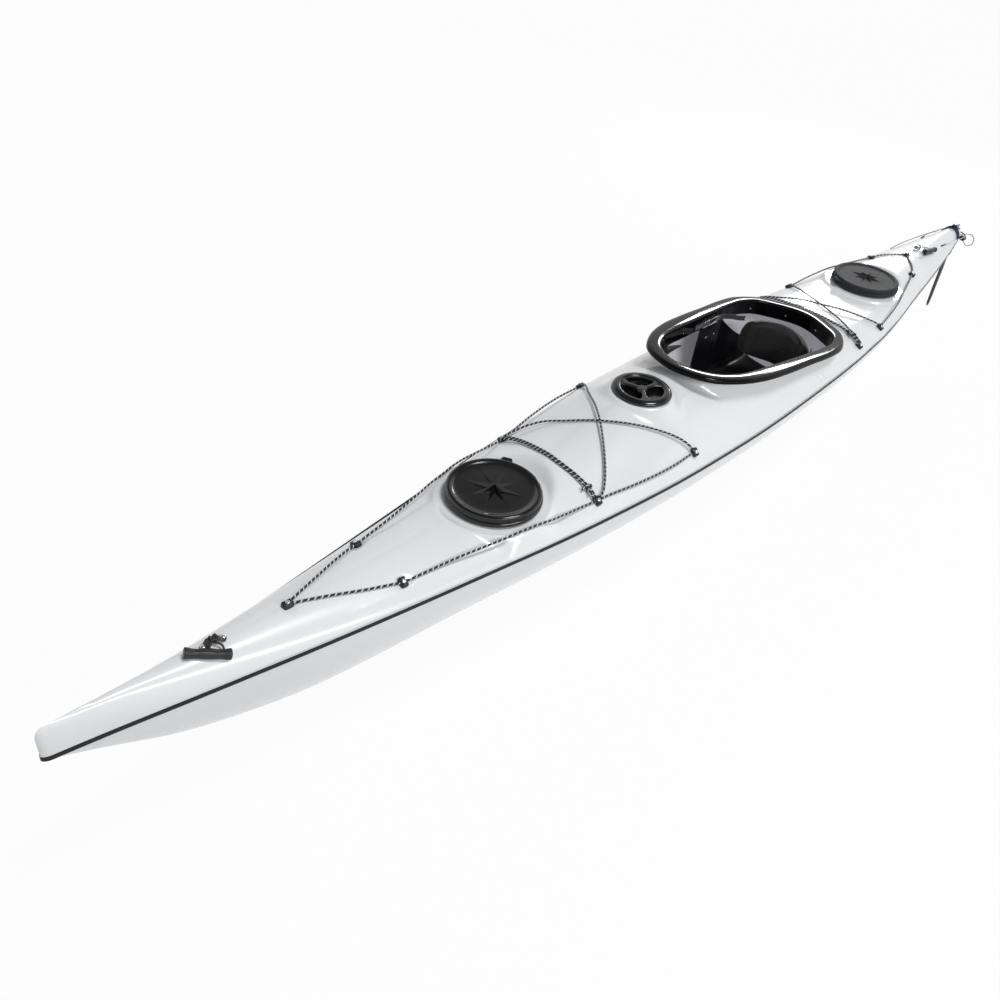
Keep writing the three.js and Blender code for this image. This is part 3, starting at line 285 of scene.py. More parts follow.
class Signal:
    def __init__(self, board, socket):
        self.board, self.socket = board, socket

    def sum(self, operation, other, flip=False):
        pair = (other, self) if flip else (self, other)
        return self.board.node("ShaderNodeMath", {"operation": operation}, {0: pair[0], 1: pair[1]})

    def __add__(self, other):
        return self.sum("ADD", other)

    def __sub__(self, other):
        return self.sum("SUBTRACT", other)

    def __rsub__(self, other):
        return self.sum("SUBTRACT", other, True)

    def __mul__(self, other):
        return self.sum("MULTIPLY", other)

    def __truediv__(self, other):
        return self.sum("DIVIDE", other)

    def __gt__(self, other):
        return self.sum("GREATER_THAN", other)

    def __mod__(self, other):
        return self.sum("FLOORED_MODULO", other)

    __radd__, __rmul__ = __add__, __mul__

    def only(self, operation):
        return self.board.node("ShaderNodeMath", {"operation": operation}, {0: self})

    def ripple(self):
        return (self * math.pi).only("SINE").only("ABSOLUTE")


class Board:
    def __init__(self, name):
        self.material = bpy.data.materials.new(name)
        self.material.use_nodes = True
        self.tree = self.material.node_tree
        self.surface = self.tree.nodes["Principled BSDF"]

    def node(self, kind, settings=None, inputs=None, output=0):
        made = self.tree.nodes.new(kind)
        for key, value in (settings or {}).items():
            if key == "stops":
                ramp = made.color_ramp.elements
                while len(ramp) < len(value):
                    ramp.new(0.5)
                for stop, (place, shade) in zip(ramp, value):
                    stop.position = place
                    stop.color = (*shade, 1) if isinstance(shade, tuple) else (shade, shade, shade, 1)
            else:
                setattr(made, key, value)
        for key, value in (inputs or {}).items():
            self.give(made.inputs[key], value)
        return Signal(self, made.outputs[output])

    def give(self, socket, value):
        if isinstance(value, Signal):
            self.tree.links.new(value.socket, socket)
        else:
            socket.default_value = value

    def place(self, name="Object"):
        return self.node("ShaderNodeTexCoord", output=name)

    def noise(self, scale, detail=2.0, where=None, rough=0.5):
        return self.node("ShaderNodeTexNoise", {}, {
            "Vector": where or self.place(), "Scale": scale, "Detail": detail, "Roughness": rough}, "Fac")

    def stretched(self, scale):
        return self.node("ShaderNodeMapping", {}, {"Vector": self.place(), "Scale": scale})

    def ramp(self, value, stops):
        return self.node("ShaderNodeValToRGB", {"stops": stops}, {"Fac": value})

    def mixed(self, share, first, second):
        return self.node("ShaderNodeMix", {"data_type": "RGBA"}, {0: share, 6: first, 7: second}, 2)

    def axes(self, vector):
        split = self.tree.nodes.new("ShaderNodeSeparateXYZ")
        self.give(split.inputs[0], vector)
        return [Signal(self, split.outputs[k]) for k in range(3)]

    def bump(self, height, strength, distance, under=None):
        inputs = {"Height": height, "Strength": strength, "Distance": distance}
        if under:
            inputs["Normal"] = under
        return self.node("ShaderNodeBump", {}, inputs)

    def finish(self, **sockets):
        for name, value in sockets.items():
            label = {"color": "Base Color", "rough": "Roughness", "metal": "Metallic", "normal": "Normal",
                     "coat": "Coat Weight", "coatRough": "Coat Roughness", "sheen": "Sheen Weight",
                     "specular": "Specular IOR Level", "glow": "Emission Color",
                     "glowStrength": "Emission Strength"}[name]
            self.give(self.surface.inputs[label], value)
        return self.material


def rgb(r, g, b):
    return (r, g, b, 1)


def shaded(tint, share):
    return tuple(share * c for c in tint)


def whiteGelcoat():
    b = Board("whiteGelcoat")
    cloud = b.noise(2.2, 3)
    tone = b.ramp(cloud, [(0.3, (0.772, 0.786, 0.806)), (0.7, (0.8, 0.812, 0.826))])
    peel = b.noise(160, 2)
    wave = b.noise(5, 2)
    haze = b.noise(34, 4, rough=0.6)
    return b.finish(
        color=tone, rough=0.17 + haze * 0.08, coat=0.35, coatRough=0.06,
        normal=b.bump(peel, 0.05, 0.0004, b.bump(wave, 0.1, 0.004)))


def innerLaminate():
    b = Board("innerLaminate")
    across, along = (b.node("ShaderNodeTexWave", {"bands_direction": axis}, {
        "Vector": b.place(), "Scale": 55.0, "Distortion": 1.0}, "Fac") for axis in "XY")
    weave = across * along
    cloud = b.noise(9, 4)
    tone = b.ramp(cloud * 0.8 + weave * 0.2, [(0.25, (0.76, 0.76, 0.8)), (0.75, (0.86, 0.86, 0.89))])
    # painted light: a faint glow in the laminate's own tone stands in for daylight coming through the thin
    # shell, so the inside of the hull looks lit
    return b.finish(color=tone, rough=0.42 + cloud * 0.2, glow=tone, glowStrength=0.1,
                    normal=b.bump(weave, 0.25, 0.0008))


def seamFinish():
    # black band between two fine white edges, by the strip's own UV map
    b = Board("seamBand")
    across = b.axes(b.place("UV"))[1]
    edge = (across - 0.5).only("ABSOLUTE")
    white = edge > 0.452
    grit = b.noise(90, 3)
    black = b.ramp(grit, [(0.3, (0.003, 0.003, 0.004)), (0.8, (0.009, 0.009, 0.01))])
    return b.finish(
        color=b.mixed(white, black, rgb(0.82, 0.83, 0.84)), rough=0.4 + grit * 0.16, specular=0.22,
        normal=b.bump(b.noise(240, 2), 0.08, 0.0006))


def blackLaminate(name="blackLaminate", weaveShare=0.35, rough=0.1, shine=0.16):
    # glossy resin over a woven cloth that shows only faintly
    b = Board(name)
    where = b.place()
    x, y, _ = b.axes(where)
    cell = 0.0042
    odd = ((x / cell).only("FLOOR") + (y / cell).only("FLOOR")) % 2
    warp, weft = (x / cell).ripple(), (y / cell).ripple()
    cloth = odd * warp + (1 - odd) * weft
    tone = b.ramp(cloth * weaveShare + b.noise(14, 3) * 0.4, [
        (0.15, (0.002, 0.002, 0.003)), (0.85, (0.008, 0.008, 0.009))])
    smudge = b.noise(23, 4, rough=0.65)
    return b.finish(
        color=tone, rough=rough + smudge * 0.08, specular=shine, coat=0.06, coatRough=0.03,
        normal=b.bump(b.noise(18, 2), 0.08, 0.001))


def blackPlastic(name="blackPlastic", rough=0.36, grain=900, depth=0.00012, tint=(0.008, 0.008, 0.009)):
    b = Board(name)
    patch = b.noise(28, 4, rough=0.6)
    # lighter along sharp convex edges, by how pointed the surface is there
    edgeSharpness = b.node("ShaderNodeNewGeometry", output="Pointiness")
    edge = b.ramp(edgeSharpness, [(0.5, 0.0), (0.62, 1.0)])
    tone = b.ramp(patch, [(0.25, shaded(tint, 0.7)), (0.75, tint)])
    pale = b.mixed(edge * 0.35, tone, rgb(*shaded(tint, 2.6)))
    pits = b.noise(grain, 2)
    return b.finish(color=pale, rough=rough + patch * 0.18, normal=b.bump(pits, 0.35, depth))


def coverRubber(name, tint, rough, grain, shine=0.5):
    b = Board(name)
    dust = b.noise(19, 5, rough=0.62)
    tone = b.ramp(dust, [(0.28, shaded(tint, 0.75)), (0.6, tint), (0.85, shaded(tint, 1.35))])
    pits = b.node("ShaderNodeTexVoronoi", {}, {"Vector": b.place(), "Scale": grain}, "Distance")
    fine = b.noise(grain * 1.7, 3)
    return b.finish(color=tone, rough=rough + dust * 0.12, specular=shine,
                    normal=b.bump(pits * 0.6 + fine * 0.4, 0.2, 0.0004))


def brushedSteel():
    b = Board("brushedSteel")
    lines = b.noise(60, 3, b.stretched((2, 2, 40)))
    spots = b.noise(300, 2)
    tone = b.ramp(lines, [(0.3, (0.52, 0.53, 0.55)), (0.7, (0.7, 0.71, 0.73))])
    return b.finish(color=tone, metal=1.0, rough=0.16 + lines * 0.16 + spots * 0.04,
                    normal=b.bump(lines, 0.08, 0.0003))


def braidedLine(name="braidedLine", pitch=0.017, white=0.2, tint=(0.005, 0.006, 0.024), plaits=8):
    # one pale tracer winds round a dark braid: the UV map holds metres along and turns round
    b = Board(name)
    u, v, _ = b.axes(b.place("UV"))
    wobble = b.noise(40, 2) * 0.1
    phase = (u / pitch + v + wobble) % 1
    tracer = b.ramp(phase, [(0.0, 1.0), (0.03, 0.0), (1 - white - 0.04, 0.0), (1 - white, 1.0)])
    plait = (u / pitch * 4 + v * plaits).ripple().sum("MAXIMUM", (u / pitch * 4 - v * plaits).ripple())
    fuzz = b.noise(700, 3)
    dark = b.ramp(plait * 0.7 + fuzz * 0.3, [(0.35, shaded(tint, 0.35)), (0.9, tint)])
    pale = b.ramp(fuzz, [(0.3, (0.62, 0.64, 0.68)), (0.7, (0.82, 0.83, 0.86))])
    return b.finish(
        color=b.mixed(tracer, dark, pale), rough=0.62 + fuzz * 0.2, sheen=0.15,
        normal=b.bump(plait * 0.8 + fuzz * 0.2, 0.7, 0.0006))


def wovenWebbing():
    b = Board("wovenWebbing")
    u, v, _ = b.axes(b.place("UV"))
    weave = (u / 0.0016 + v / 0.0022).ripple().sum("MAXIMUM", (u / 0.0016 - v / 0.0022).ripple())
    fuzz = b.noise(500, 3)
    tone = b.ramp(weave * 0.7 + fuzz * 0.3, [(0.3, (0.008, 0.008, 0.009)), (0.9, (0.045, 0.045, 0.05))])
    return b.finish(color=tone, rough=0.68 + fuzz * 0.2, sheen=0.2, normal=b.bump(weave, 0.6, 0.0005))


def foamCover():
    b = Board("foamCover")
    _, y, z = b.axes(b.place())
    knit = ((y / 0.0028) * math.pi).only("SINE") * ((z / 0.0028) * math.pi).only("SINE")
    fuzz = b.noise(260, 4, rough=0.6)
    cloud = b.noise(18, 3)
    tone = b.ramp(knit * 0.25 + fuzz * 0.4 + cloud * 0.35, [
        (0.2, (0.006, 0.006, 0.007)), (0.8, (0.028, 0.028, 0.031))])
    return b.finish(color=tone, rough=0.7 + fuzz * 0.2, sheen=0.3,
                    normal=b.bump(knit * 0.5 + fuzz * 0.5, 0.45, 0.0007))


def plainCord(name, low, high):
    # a braid of one colour
    b = Board(name)
    u, v, _ = b.axes(b.place("UV"))
    plait = (u / 0.003 + v * 6).ripple().sum("MAXIMUM", (u / 0.003 - v * 6).ripple())
    fuzz = b.noise(600, 3)
    tone = b.ramp(plait * 0.6 + fuzz * 0.4, [(0.3, low), (0.9, high)])
    return b.finish(color=tone, rough=0.55 + fuzz * 0.2, normal=b.bump(plait, 0.6, 0.0004))


def greySheath():
    b = Board("greySheath")
    streak = b.noise(120, 3)
    tone = b.ramp(streak, [(0.3, (0.16, 0.17, 0.18)), (0.7, (0.27, 0.28, 0.3))])
    return b.finish(color=tone, rough=0.35 + streak * 0.2, normal=b.bump(streak, 0.1, 0.0003))


finishes = {
    "gelcoat": whiteGelcoat(), "inner": innerLaminate(), "seam": seamFinish(),
    "rim": blackLaminate("rimLaminate", 0.3, 0.03, 0.07),
    "seat": blackLaminate("seatLaminate", 0.45, 0.26, 0.12), "plastic": blackPlastic(),
    "satin": blackPlastic("satinPlastic", 0.09, 500, 0.00005, (0.005, 0.005, 0.006)),
    "blade": blackPlastic("bladePlastic", 0.3, 300, 0.00015, (0.012, 0.012, 0.014)),
    "bowRubber": coverRubber("bowRubber", (0.0055, 0.0055, 0.006), 0.11, 420),
    # painted sheen: the stern cover's rubber has a lighter grey tint than the bow cover's, standing in for
    # the sheen it shows, and its specular is turned down
    "sternRubberPaintedSheen": coverRubber("sternRubberPaintedSheen", (0.044, 0.045, 0.048), 0.46, 300, 0.05),
    "seal": coverRubber("sealRubber", (0.02, 0.02, 0.021), 0.55, 600), "steel": brushedSteel(),
    "braid": braidedLine(), "fineBraid": braidedLine("fineBraid", 0.015, 0.17), "webbing": wovenWebbing(),
    "foam": foamCover(), "sheath": greySheath(),
    "blackCord": plainCord("blackCord", (0.004, 0.004, 0.005), (0.022, 0.022, 0.024)),
    "paleCord": plainCord("paleCord", (0.3, 0.31, 0.33), (0.62, 0.63, 0.65)),
    "navyCord": plainCord("navyCord", (0.005, 0.006, 0.026), (0.02, 0.024, 0.085)),
}
print("materials ready:", len(finishes))


def dress(piece, body, slot, finish, *nodes):
    # the piece rides on its body, stands for its nodes and takes its finish
    if finish:
        piece.data.materials.clear()
        piece.data.materials.append(finishes[finish])
    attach(piece, body)
    if nodes:
        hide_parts(*nodes)
    return piece


def bodyOf(node):
    return next(body for body, nodes in frame["record"]["behaviour"]["bodies"].items() if node in nodes)


# Lines of the hull, from one table of stations

hullForm = {
    "halfLength": 2.35, "sternX": -2.346, "halfBeam": 0.281, "sheerHeight": 0.225, "noseRadius": 0.018,
    "noseDrop": 0.03, "postRadius": 0.012, "flat": 0.045, "flatShare": 0.22, "wall": 0.005, "columns": 210,
    "rows": 56, "deckColumns": 190, "deckRows": 26,
}
# place along the half length, half beam, heights of seam, keel and crown, then how full hull and deck are
stationShares = (
    (1.0, 0.032, 1.324, 1.3, 1.707, 1.5, 1.95), (0.9532, 0.082, 1.293, 1.049, 1.667, 1.65, 1.98),
    (0.8617, 0.203, 1.24, 0.545, 1.564, 1.65, 1.88), (0.7174, 0.392, 1.169, 0.16, 1.471, 1.8, 1.6),
    (0.5349, 0.614, 1.107, 0.044, 1.404, 1.68, 1.5), (0.3455, 0.826, 1.062, 0.015, 1.502, 1.78, 1.55),
    (0.1447, 0.961, 1.022, 0.0, 1.769, 1.78, 1.55), (-0.0426, 1.0, 1.0, 0.0, 1.689, 1.8, 1.6),
    (-0.2553, 0.961, 1.0, 0.0, 1.378, 1.8, 2.0), (-0.4468, 0.854, 1.018, 0.013, 1.316, 1.8, 2.7),
    (-0.6864, 0.548, 1.076, 0.133, 1.449, 1.7, 2.4), (-0.8511, 0.327, 1.133, 0.4, 1.471, 1.6, 2.2),
    (-0.9983, 0.093, 1.187, 0.889, 1.484, 1.5, 2.1),
)


def fairCurve(column, size):
    # a smooth curve through one column of the table, then eased so that no station shows
    table = np.array(stationShares[::-1])
    x, y = table[:, 0] * hullForm["halfLength"], table[:, column] * size
    gap, slope = np.diff(x), np.diff(y) / np.diff(x)
    tangent = np.concatenate([slope[:1], np.zeros(len(x) - 2), slope[-1:]])
    for k in range(1, len(x) - 1):
        if slope[k - 1] * slope[k] > 0:
            near, far = 2 * gap[k] + gap[k - 1], gap[k] + 2 * gap[k - 1]
            tangent[k] = (near + far) / (near / slope[k - 1] + far / slope[k])
    fine = np.linspace(x[0], x[-1], 1176)
    k = np.clip(np.searchsorted(x, fine) - 1, 0, len(x) - 2)
    t = (fine - x[k]) / gap[k]
    curve = ((2 * t**3 - 3 * t**2 + 1) * y[k] + (t**3 - 2 * t**2 + t) * gap[k] * tangent[k]
             + (3 * t**2 - 2 * t**3) * y[k + 1] + (t**3 - t**2) * gap[k] * tangent[k + 1])
    reach = 30
    weights = np.exp(-0.5 * (np.arange(-reach, reach + 1) / 11.0) ** 2)
    padded = np.concatenate([2 * curve[0] - curve[reach:0:-1], curve,
                             2 * curve[-1] - curve[-2:-reach - 2:-1]])
    eased = np.convolve(padded, weights / weights.sum(), "valid")
    return lambda q: np.interp(q, fine, eased)


beamAt = fairCurve(1, hullForm["halfBeam"])
sheerAt = fairCurve(2, hullForm["sheerHeight"])
keelAt = fairCurve(3, hullForm["sheerHeight"])
crownAt = fairCurve(4, hullForm["sheerHeight"])
hullPowerAt = fairCurve(5, 1.0)
deckPowerAt = fairCurve(6, 1.0)


def endShrink(x):
    bow = (x - (hullForm["halfLength"] - hullForm["noseRadius"])) / hullForm["noseRadius"]
    stern = (hullForm["sternX"] + hullForm["postRadius"] - x) / hullForm["postRadius"]
    t = np.clip(np.maximum(bow, stern), 0, 1)
    return np.sqrt(1 - t * t)


def stationPlaces(count):
    # even places along the boat, closer together towards the rounded ends
    low, high = hullForm["sternX"], hullForm["halfLength"]
    nose = high - hullForm["noseRadius"] * (1 - np.sin(np.linspace(0, math.pi / 2, 9)))
    post = low + hullForm["postRadius"] * (1 - np.sin(np.linspace(math.pi / 2, 0, 9)))
    t = np.linspace(0, 1, count - 16)
    t = t - 0.35 * np.sin(2 * math.pi * t) / (2 * math.pi)
    middle = post[-1] + t * (nose[0] - post[-1])
    return np.concatenate([post[:-1], middle, nose[1:]])


def halfSection(x, deck):
    # from the port seam to the middle, as (across, height)
    shrink = float(endShrink(x))
    beam, sheer = float(beamAt(x)) * shrink, float(sheerAt(x))
    angle = np.linspace(0, math.pi / 2, 90)
    if deck:
        crown = float(crownAt(x)) - hullForm["noseDrop" if x > 0 else "postRadius"] * (1 - shrink)
        power = 2 / float(deckPowerAt(x))
        return np.stack([beam * np.cos(angle) ** power, sheer + (crown - sheer) * np.sin(angle) ** power], 1)
    keel = float(keelAt(x))
    if x > 0:
        keel = sheer + (keel - sheer) * shrink
    flat = min(hullForm["flat"], hullForm["flatShare"] * beam)
    power = 2 / float(hullPowerAt(x))
    side = np.stack([flat + (beam - flat) * np.cos(angle) ** power,
                     sheer - (sheer - keel) * np.sin(angle) ** power], 1)
    return np.concatenate([side, [[0, keel]]])


def roundSection(x, shares, deck):
    # points of a whole section, by their share of the way round from port to starboard
    half = halfSection(x, deck)
    half[np.abs(half) < 1e-7] = 0
    line = np.concatenate([half, half[-2::-1] * (-1, 1)])
    run = np.concatenate([[0], np.cumsum(np.hypot(*np.diff(line, axis=0).T))])
    where = np.asarray(shares) * run[-1]
    return np.stack([np.full(len(where), x), np.interp(where, run, line[:, 0]),
                     np.interp(where, run, line[:, 1])], 1)


def plainDeck(x, y):
    # height of the deck before anything is moulded into it
    shrink = endShrink(x)
    beam = np.maximum(beamAt(x) * shrink, 1e-6)
    crown = crownAt(x) - hullForm["noseRadius"] * (1 - shrink)
    power = deckPowerAt(x)
    share = np.clip(1 - np.clip(np.abs(y) / beam, 0, 1) ** power, 0, 1)
    return sheerAt(x) + (crown - sheerAt(x)) * share ** (1 / power)


# Cockpit rim in plan, as two rings of matching points

rimForm = {
    "outer": (0.205, -0.835, 0.253), "inner": (0.15, -0.772, 0.202), "frontX": 0.205, "rearX": -0.835,
    "frontZ": 0.436, "rearZ": 0.316, "wall": 0.004, "wallDepth": 0.06, "lip": 0.0135, "lipWall": 0.0035,
    "crown": 0.0017, "points": 256,
}
rimOuterShares = (
    (0, 0), (0.014, 0.277), (0.053, 0.534), (0.139, 0.751), (0.255, 0.889), (0.397, 0.949), (0.537, 0.972),
    (0.693, 1.0), (0.788, 0.968), (0.87, 0.83), (0.923, 0.672), (0.962, 0.415), (0.993, 0.158), (1, 0))
rimInnerShares = (
    (0, 0), (0.016, 0.297), (0.065, 0.569), (0.146, 0.752), (0.228, 0.822), (0.363, 0.876), (0.537, 0.941),
    (0.721, 1.0), (0.814, 0.99), (0.9, 0.842), (0.949, 0.554), (0.992, 0.198), (1, 0))


def eggRing(shares, front, rear, halfWidth):
    side = [(front + (rear - front) * along, across * halfWidth) for along, across in shares]
    other = [(x, -y) for x, y in side[-2:0:-1]]
    return throughPoints(side + other, rimForm["points"], closed=True)


rimOuter = eggRing(rimOuterShares, *rimForm["outer"])
rimInner = eggRing(rimInnerShares, *rimForm["inner"])
rimWidth = np.hypot(*(rimOuter - rimInner).T)
rimOut = (rimOuter - rimInner) / rimWidth[:, None]


def rimHeight(x):
    slope = (rimForm["frontZ"] - rimForm["rearZ"]) / (rimForm["frontX"] - rimForm["rearX"])
    return rimForm["rearZ"] + (x - rimForm["rearX"]) * slope


def rimPlace(step, depth):
    # the ring of points a step outwards of the opening and a depth below the rim's plane
    flat = rimInner + rimOut * np.reshape(step, (-1, 1))
    return np.column_stack([flat, rimHeight(flat[:, 0]) - depth])


def outOfOpening(x, y):
    # signed distance in plan from the opening's edge, minus inside
    points = np.stack([x, y], 1)
    best = np.full(len(points), 9.0)
    inside = np.zeros(len(points), bool)
    for a, b in zip(rimInner, np.roll(rimInner, -1, axis=0)):
        edge = b - a
        t = np.clip((points - a) @ edge / (edge @ edge), 0, 1)
        best = np.minimum(best, np.hypot(*(points - a - t[:, None] * edge).T))
        crosses = (a[1] > points[:, 1]) != (b[1] > points[:, 1])
        at = a[0] + (points[:, 1] - a[1]) * edge[0] / (edge[1] if edge[1] else 1e-12)
        inside ^= crosses & (points[:, 0] < at)
    return np.where(inside, -best, best)


# Everything moulded into the deck

deckForm = {
    "pads": ((1.033, 0.166, 0.304), (-1.311, 0.166, 0.304), (0.352, 0.103, 0.397)), "recessSlope": 1.2,
    "padEase": 0.01, "bead": 0.002, "plinthStep": 0.013, "plinthDrop": 0.015, "plinthSlope": 2.265,
    "plinthEase": 0.016, "dish": (0.036, 0.021, 0.0036), "holes": (0.1222, 0.1222, 0.0826),
    "cockpitHole": 0.0044, "edgeSlope": 1.9, "edgeEase": 0.014,
}
# low ridges moulded into the deck, port side: route, height and half width
deckRidges = (
    (((0.3, 0.112), (0.24, 0.096), (0.186, 0.094)), 0.0022, 0.006),
    (((0.186, 0.094), (0.16, 0.116), (0.12, 0.17)), 0.0028, 0.006),
    (((1.205, 0.121), (1.36, 0.111), (1.486, 0.104), (1.64, 0.093)), 0.0013, 0.008),
    (((-0.93, 0.15), (-1.06, 0.148), (-1.15, 0.14)), 0.0016, 0.007),
)
fittingPlaces = {
    "bow": (1.745, 0.0), "nose_side": (1.459, 0.09), "hatch_side": (0.787, 0.19),
    "knee_side": (0.35, 0.235), "back_side": (-0.83, 0.229), "aft_side": (-1.05, 0.212),
    "tail_side": (-1.575, 0.099), "stern": (-1.722, 0.0),
}


def higher(a, b, ease):
    h = np.clip(0.5 + 0.5 * (a - b) / ease, 0, 1)
    return b + (a - b) * h + ease * h * (1 - h)


def lower(a, b, ease):
    return -higher(-a, -b, ease)


def fittingSpots():
    for name, (x, y) in fittingPlaces.items():
        for side in ((1,) if y == 0 else (1, -1)):
            label = name if y == 0 else f"{name}_{'port' if side > 0 else 'starboard'}"
            yield label, x, y * side


def cordHeading(x, y):
    # the way the cord runs past a fitting, which its dish and its block follow
    if y == 0:
        return (0.0, 1.0)
    ahead = float(beamAt(x + 0.05) - beamAt(x - 0.05)) / 0.1
    return (1.0, math.copysign(1, y) * ahead)


def awayFromRoute(x, y, route):
    # distance in plan from a route of straight runs, and how near the route's ends that is, 0 to 1
    best, fade = np.full(len(x), 9.0), np.zeros(len(x))
    runs = np.concatenate([[0], np.cumsum([math.dist(a, b) for a, b in zip(route, route[1:])])])
    for (ax, ay), (bx, by), before, after in zip(route, route[1:], runs, runs[1:]):
        size = after - before
        t = np.clip(((x - ax) * (bx - ax) + (y - ay) * (by - ay)) / size**2, 0, 1)
        away = np.hypot(x - ax - t * (bx - ax), y - ay - t * (by - ay))
        nearer = away < best
        best[nearer] = away[nearer]
        fade[nearer] = ((before + t * size) / runs[-1])[nearer]
    return best, np.clip(6 * np.minimum(fade, 1 - fade) + 0.15, 0, 1)


def moulded(x, y, base):
    x, y, base = arrays(x, y, base)
    z = base.copy()
    edge = sheerAt(x) + np.maximum(beamAt(x) - np.abs(y), 0) * deckForm["edgeSlope"]
    for padX, radius, top in deckForm["pads"]:
        near = np.hypot(x - padX, y)
        local = near < radius + 0.16
        past = np.maximum(near[local] - radius, 0)
        pad = top - past * 1.0
        cup = top + past / deckForm["recessSlope"]
        ease = deckForm["padEase"]
        pad = lower(pad, edge[local], deckForm["edgeEase"])
        height = higher(z[local], pad, ease)
        height = lower(height, cup, ease)
        ring = np.exp(-(((near[local] - radius - 0.004) / 0.0055) ** 2))
        z[local] = height + deckForm["bead"] * ring * (np.abs(past) > 0)
    near = (x > -1.0) & (x < 0.36)
    if near.any():
        away = outOfOpening(x[near], y[near])
        rise = rimHeight(x[near]) - deckForm["plinthDrop"]
        plinth = rise - np.maximum(away - deckForm["plinthStep"], 0) * deckForm["plinthSlope"]
        z[near] = higher(z[near], plinth, deckForm["plinthEase"])
    for route, tall, half in deckRidges:
        away, fade = awayFromRoute(x, np.abs(y), route)
        z += tall * fade * np.exp(-((away / half) ** 2))
    long, wide, deep = deckForm["dish"]
    for _, fx, fy in fittingSpots():
        hx, hy = cordHeading(fx, fy)
        size = math.hypot(hx, hy)
        dx, dy = x - fx, y - fy
        along, across = (dx * hx + dy * hy) / size, (dy * hx - dx * hy) / size
        gone = np.clip(1 - (along / long) ** 2 - (across / wide) ** 2, 0, 1)
        z -= deep * gone**1.4
    return z


def deckHeight(x, y):
    x, y = arrays(x, y)
    return moulded(x, y, plainDeck(x, y))


def deckNormal(x, y, reach=0.01):
    x, y = arrays(x, y)
    slopeX = (deckHeight(x + reach, y) - deckHeight(x - reach, y)) / (2 * reach)
    slopeY = (deckHeight(x, y + reach) - deckHeight(x, y - reach)) / (2 * reach)
    normal = np.stack([-slopeX, -slopeY, np.ones_like(slopeX)], 1)
    return normal / np.linalg.norm(normal, axis=1)[:, None]


def onDeck(x, y, lift=0.0):
    # a place over the deck skin
    return x, y, float(deckHeight(x, y)[0]) + lift


# Hull and deck skins


def flatSkin(name, columns, rows):
    skin = added(name, bpy.ops.mesh.primitive_grid_add, x_subdivisions=columns, y_subdivisions=rows, size=2)
    return writePoints(skin, (readPoints(skin) + (1, 1, 0)) * (columns / 2, 0.5, 1))


def skinPlaces(flat, places, deck):
    # real places of the flat grid's points: column along the boat, share round the section
    columns, back = np.unique(np.round(flat[:, 0], 6), return_inverse=True)
    at = np.interp(columns, np.arange(len(places)), places)
    points = np.empty_like(flat)
    for k, x in enumerate(at):
        chosen = back == k
        points[chosen] = roundSection(float(x), flat[chosen, 1], deck)
    return points


def faceMiddles(piece):
    middles = np.empty(len(piece.data.polygons) * 3)
    piece.data.polygons.foreach_get("center", middles)
    return middles.reshape(-1, 3)


def pickFaces(piece, chosen):
    solo(piece)
    bpy.context.tool_settings.mesh_select_mode = (False, False, True)
    piece.data.vertices.foreach_set("select", np.zeros(len(piece.data.vertices), bool))
    piece.data.edges.foreach_set("select", np.zeros(len(piece.data.edges), bool))
    piece.data.polygons.foreach_set("select", np.asarray(chosen, bool))
    bpy.ops.object.mode_set(mode="EDIT")


def leaveEditMode():
    bpy.ops.object.mode_set(mode="OBJECT")
    bpy.context.tool_settings.mesh_select_mode = (True, False, False)


def nearMoulding(x, y, reach):
    near = np.zeros(len(x), bool)
    for padX, radius, _ in deckForm["pads"]:
        near |= np.abs(np.hypot(x - padX, y) - radius - 0.012) < 0.03 + reach
    local = (x > -0.95) & (x < 0.3)
    away = np.full(len(x), 1.0)
    away[local] = outOfOpening(x[local], y[local])
    near |= (away > -0.006 - reach) & (away < 0.045 + reach)
    for _, fx, fy in fittingSpots():
        near |= (np.abs(x - fx) < 0.04 + reach) & (np.abs(y - fy) < 0.026 + reach)
    for route, _, _ in deckRidges:
        near |= awayFromRoute(x, np.abs(y), route)[0] < 0.012 + reach
    return near


def walled(skin):
    # the skin is closed at its ends and gets its two finishes and its wall
    weld(skin, 2e-5)
    skin.data.materials.append(finishes["gelcoat"])
    skin.data.materials.append(finishes["inner"])
    applyModifier(skin, "SOLIDIFY", thickness=hullForm["wall"], offset=-1, material_offset=1,
                  use_even_offset=False)
    return smooth(skin, 50)


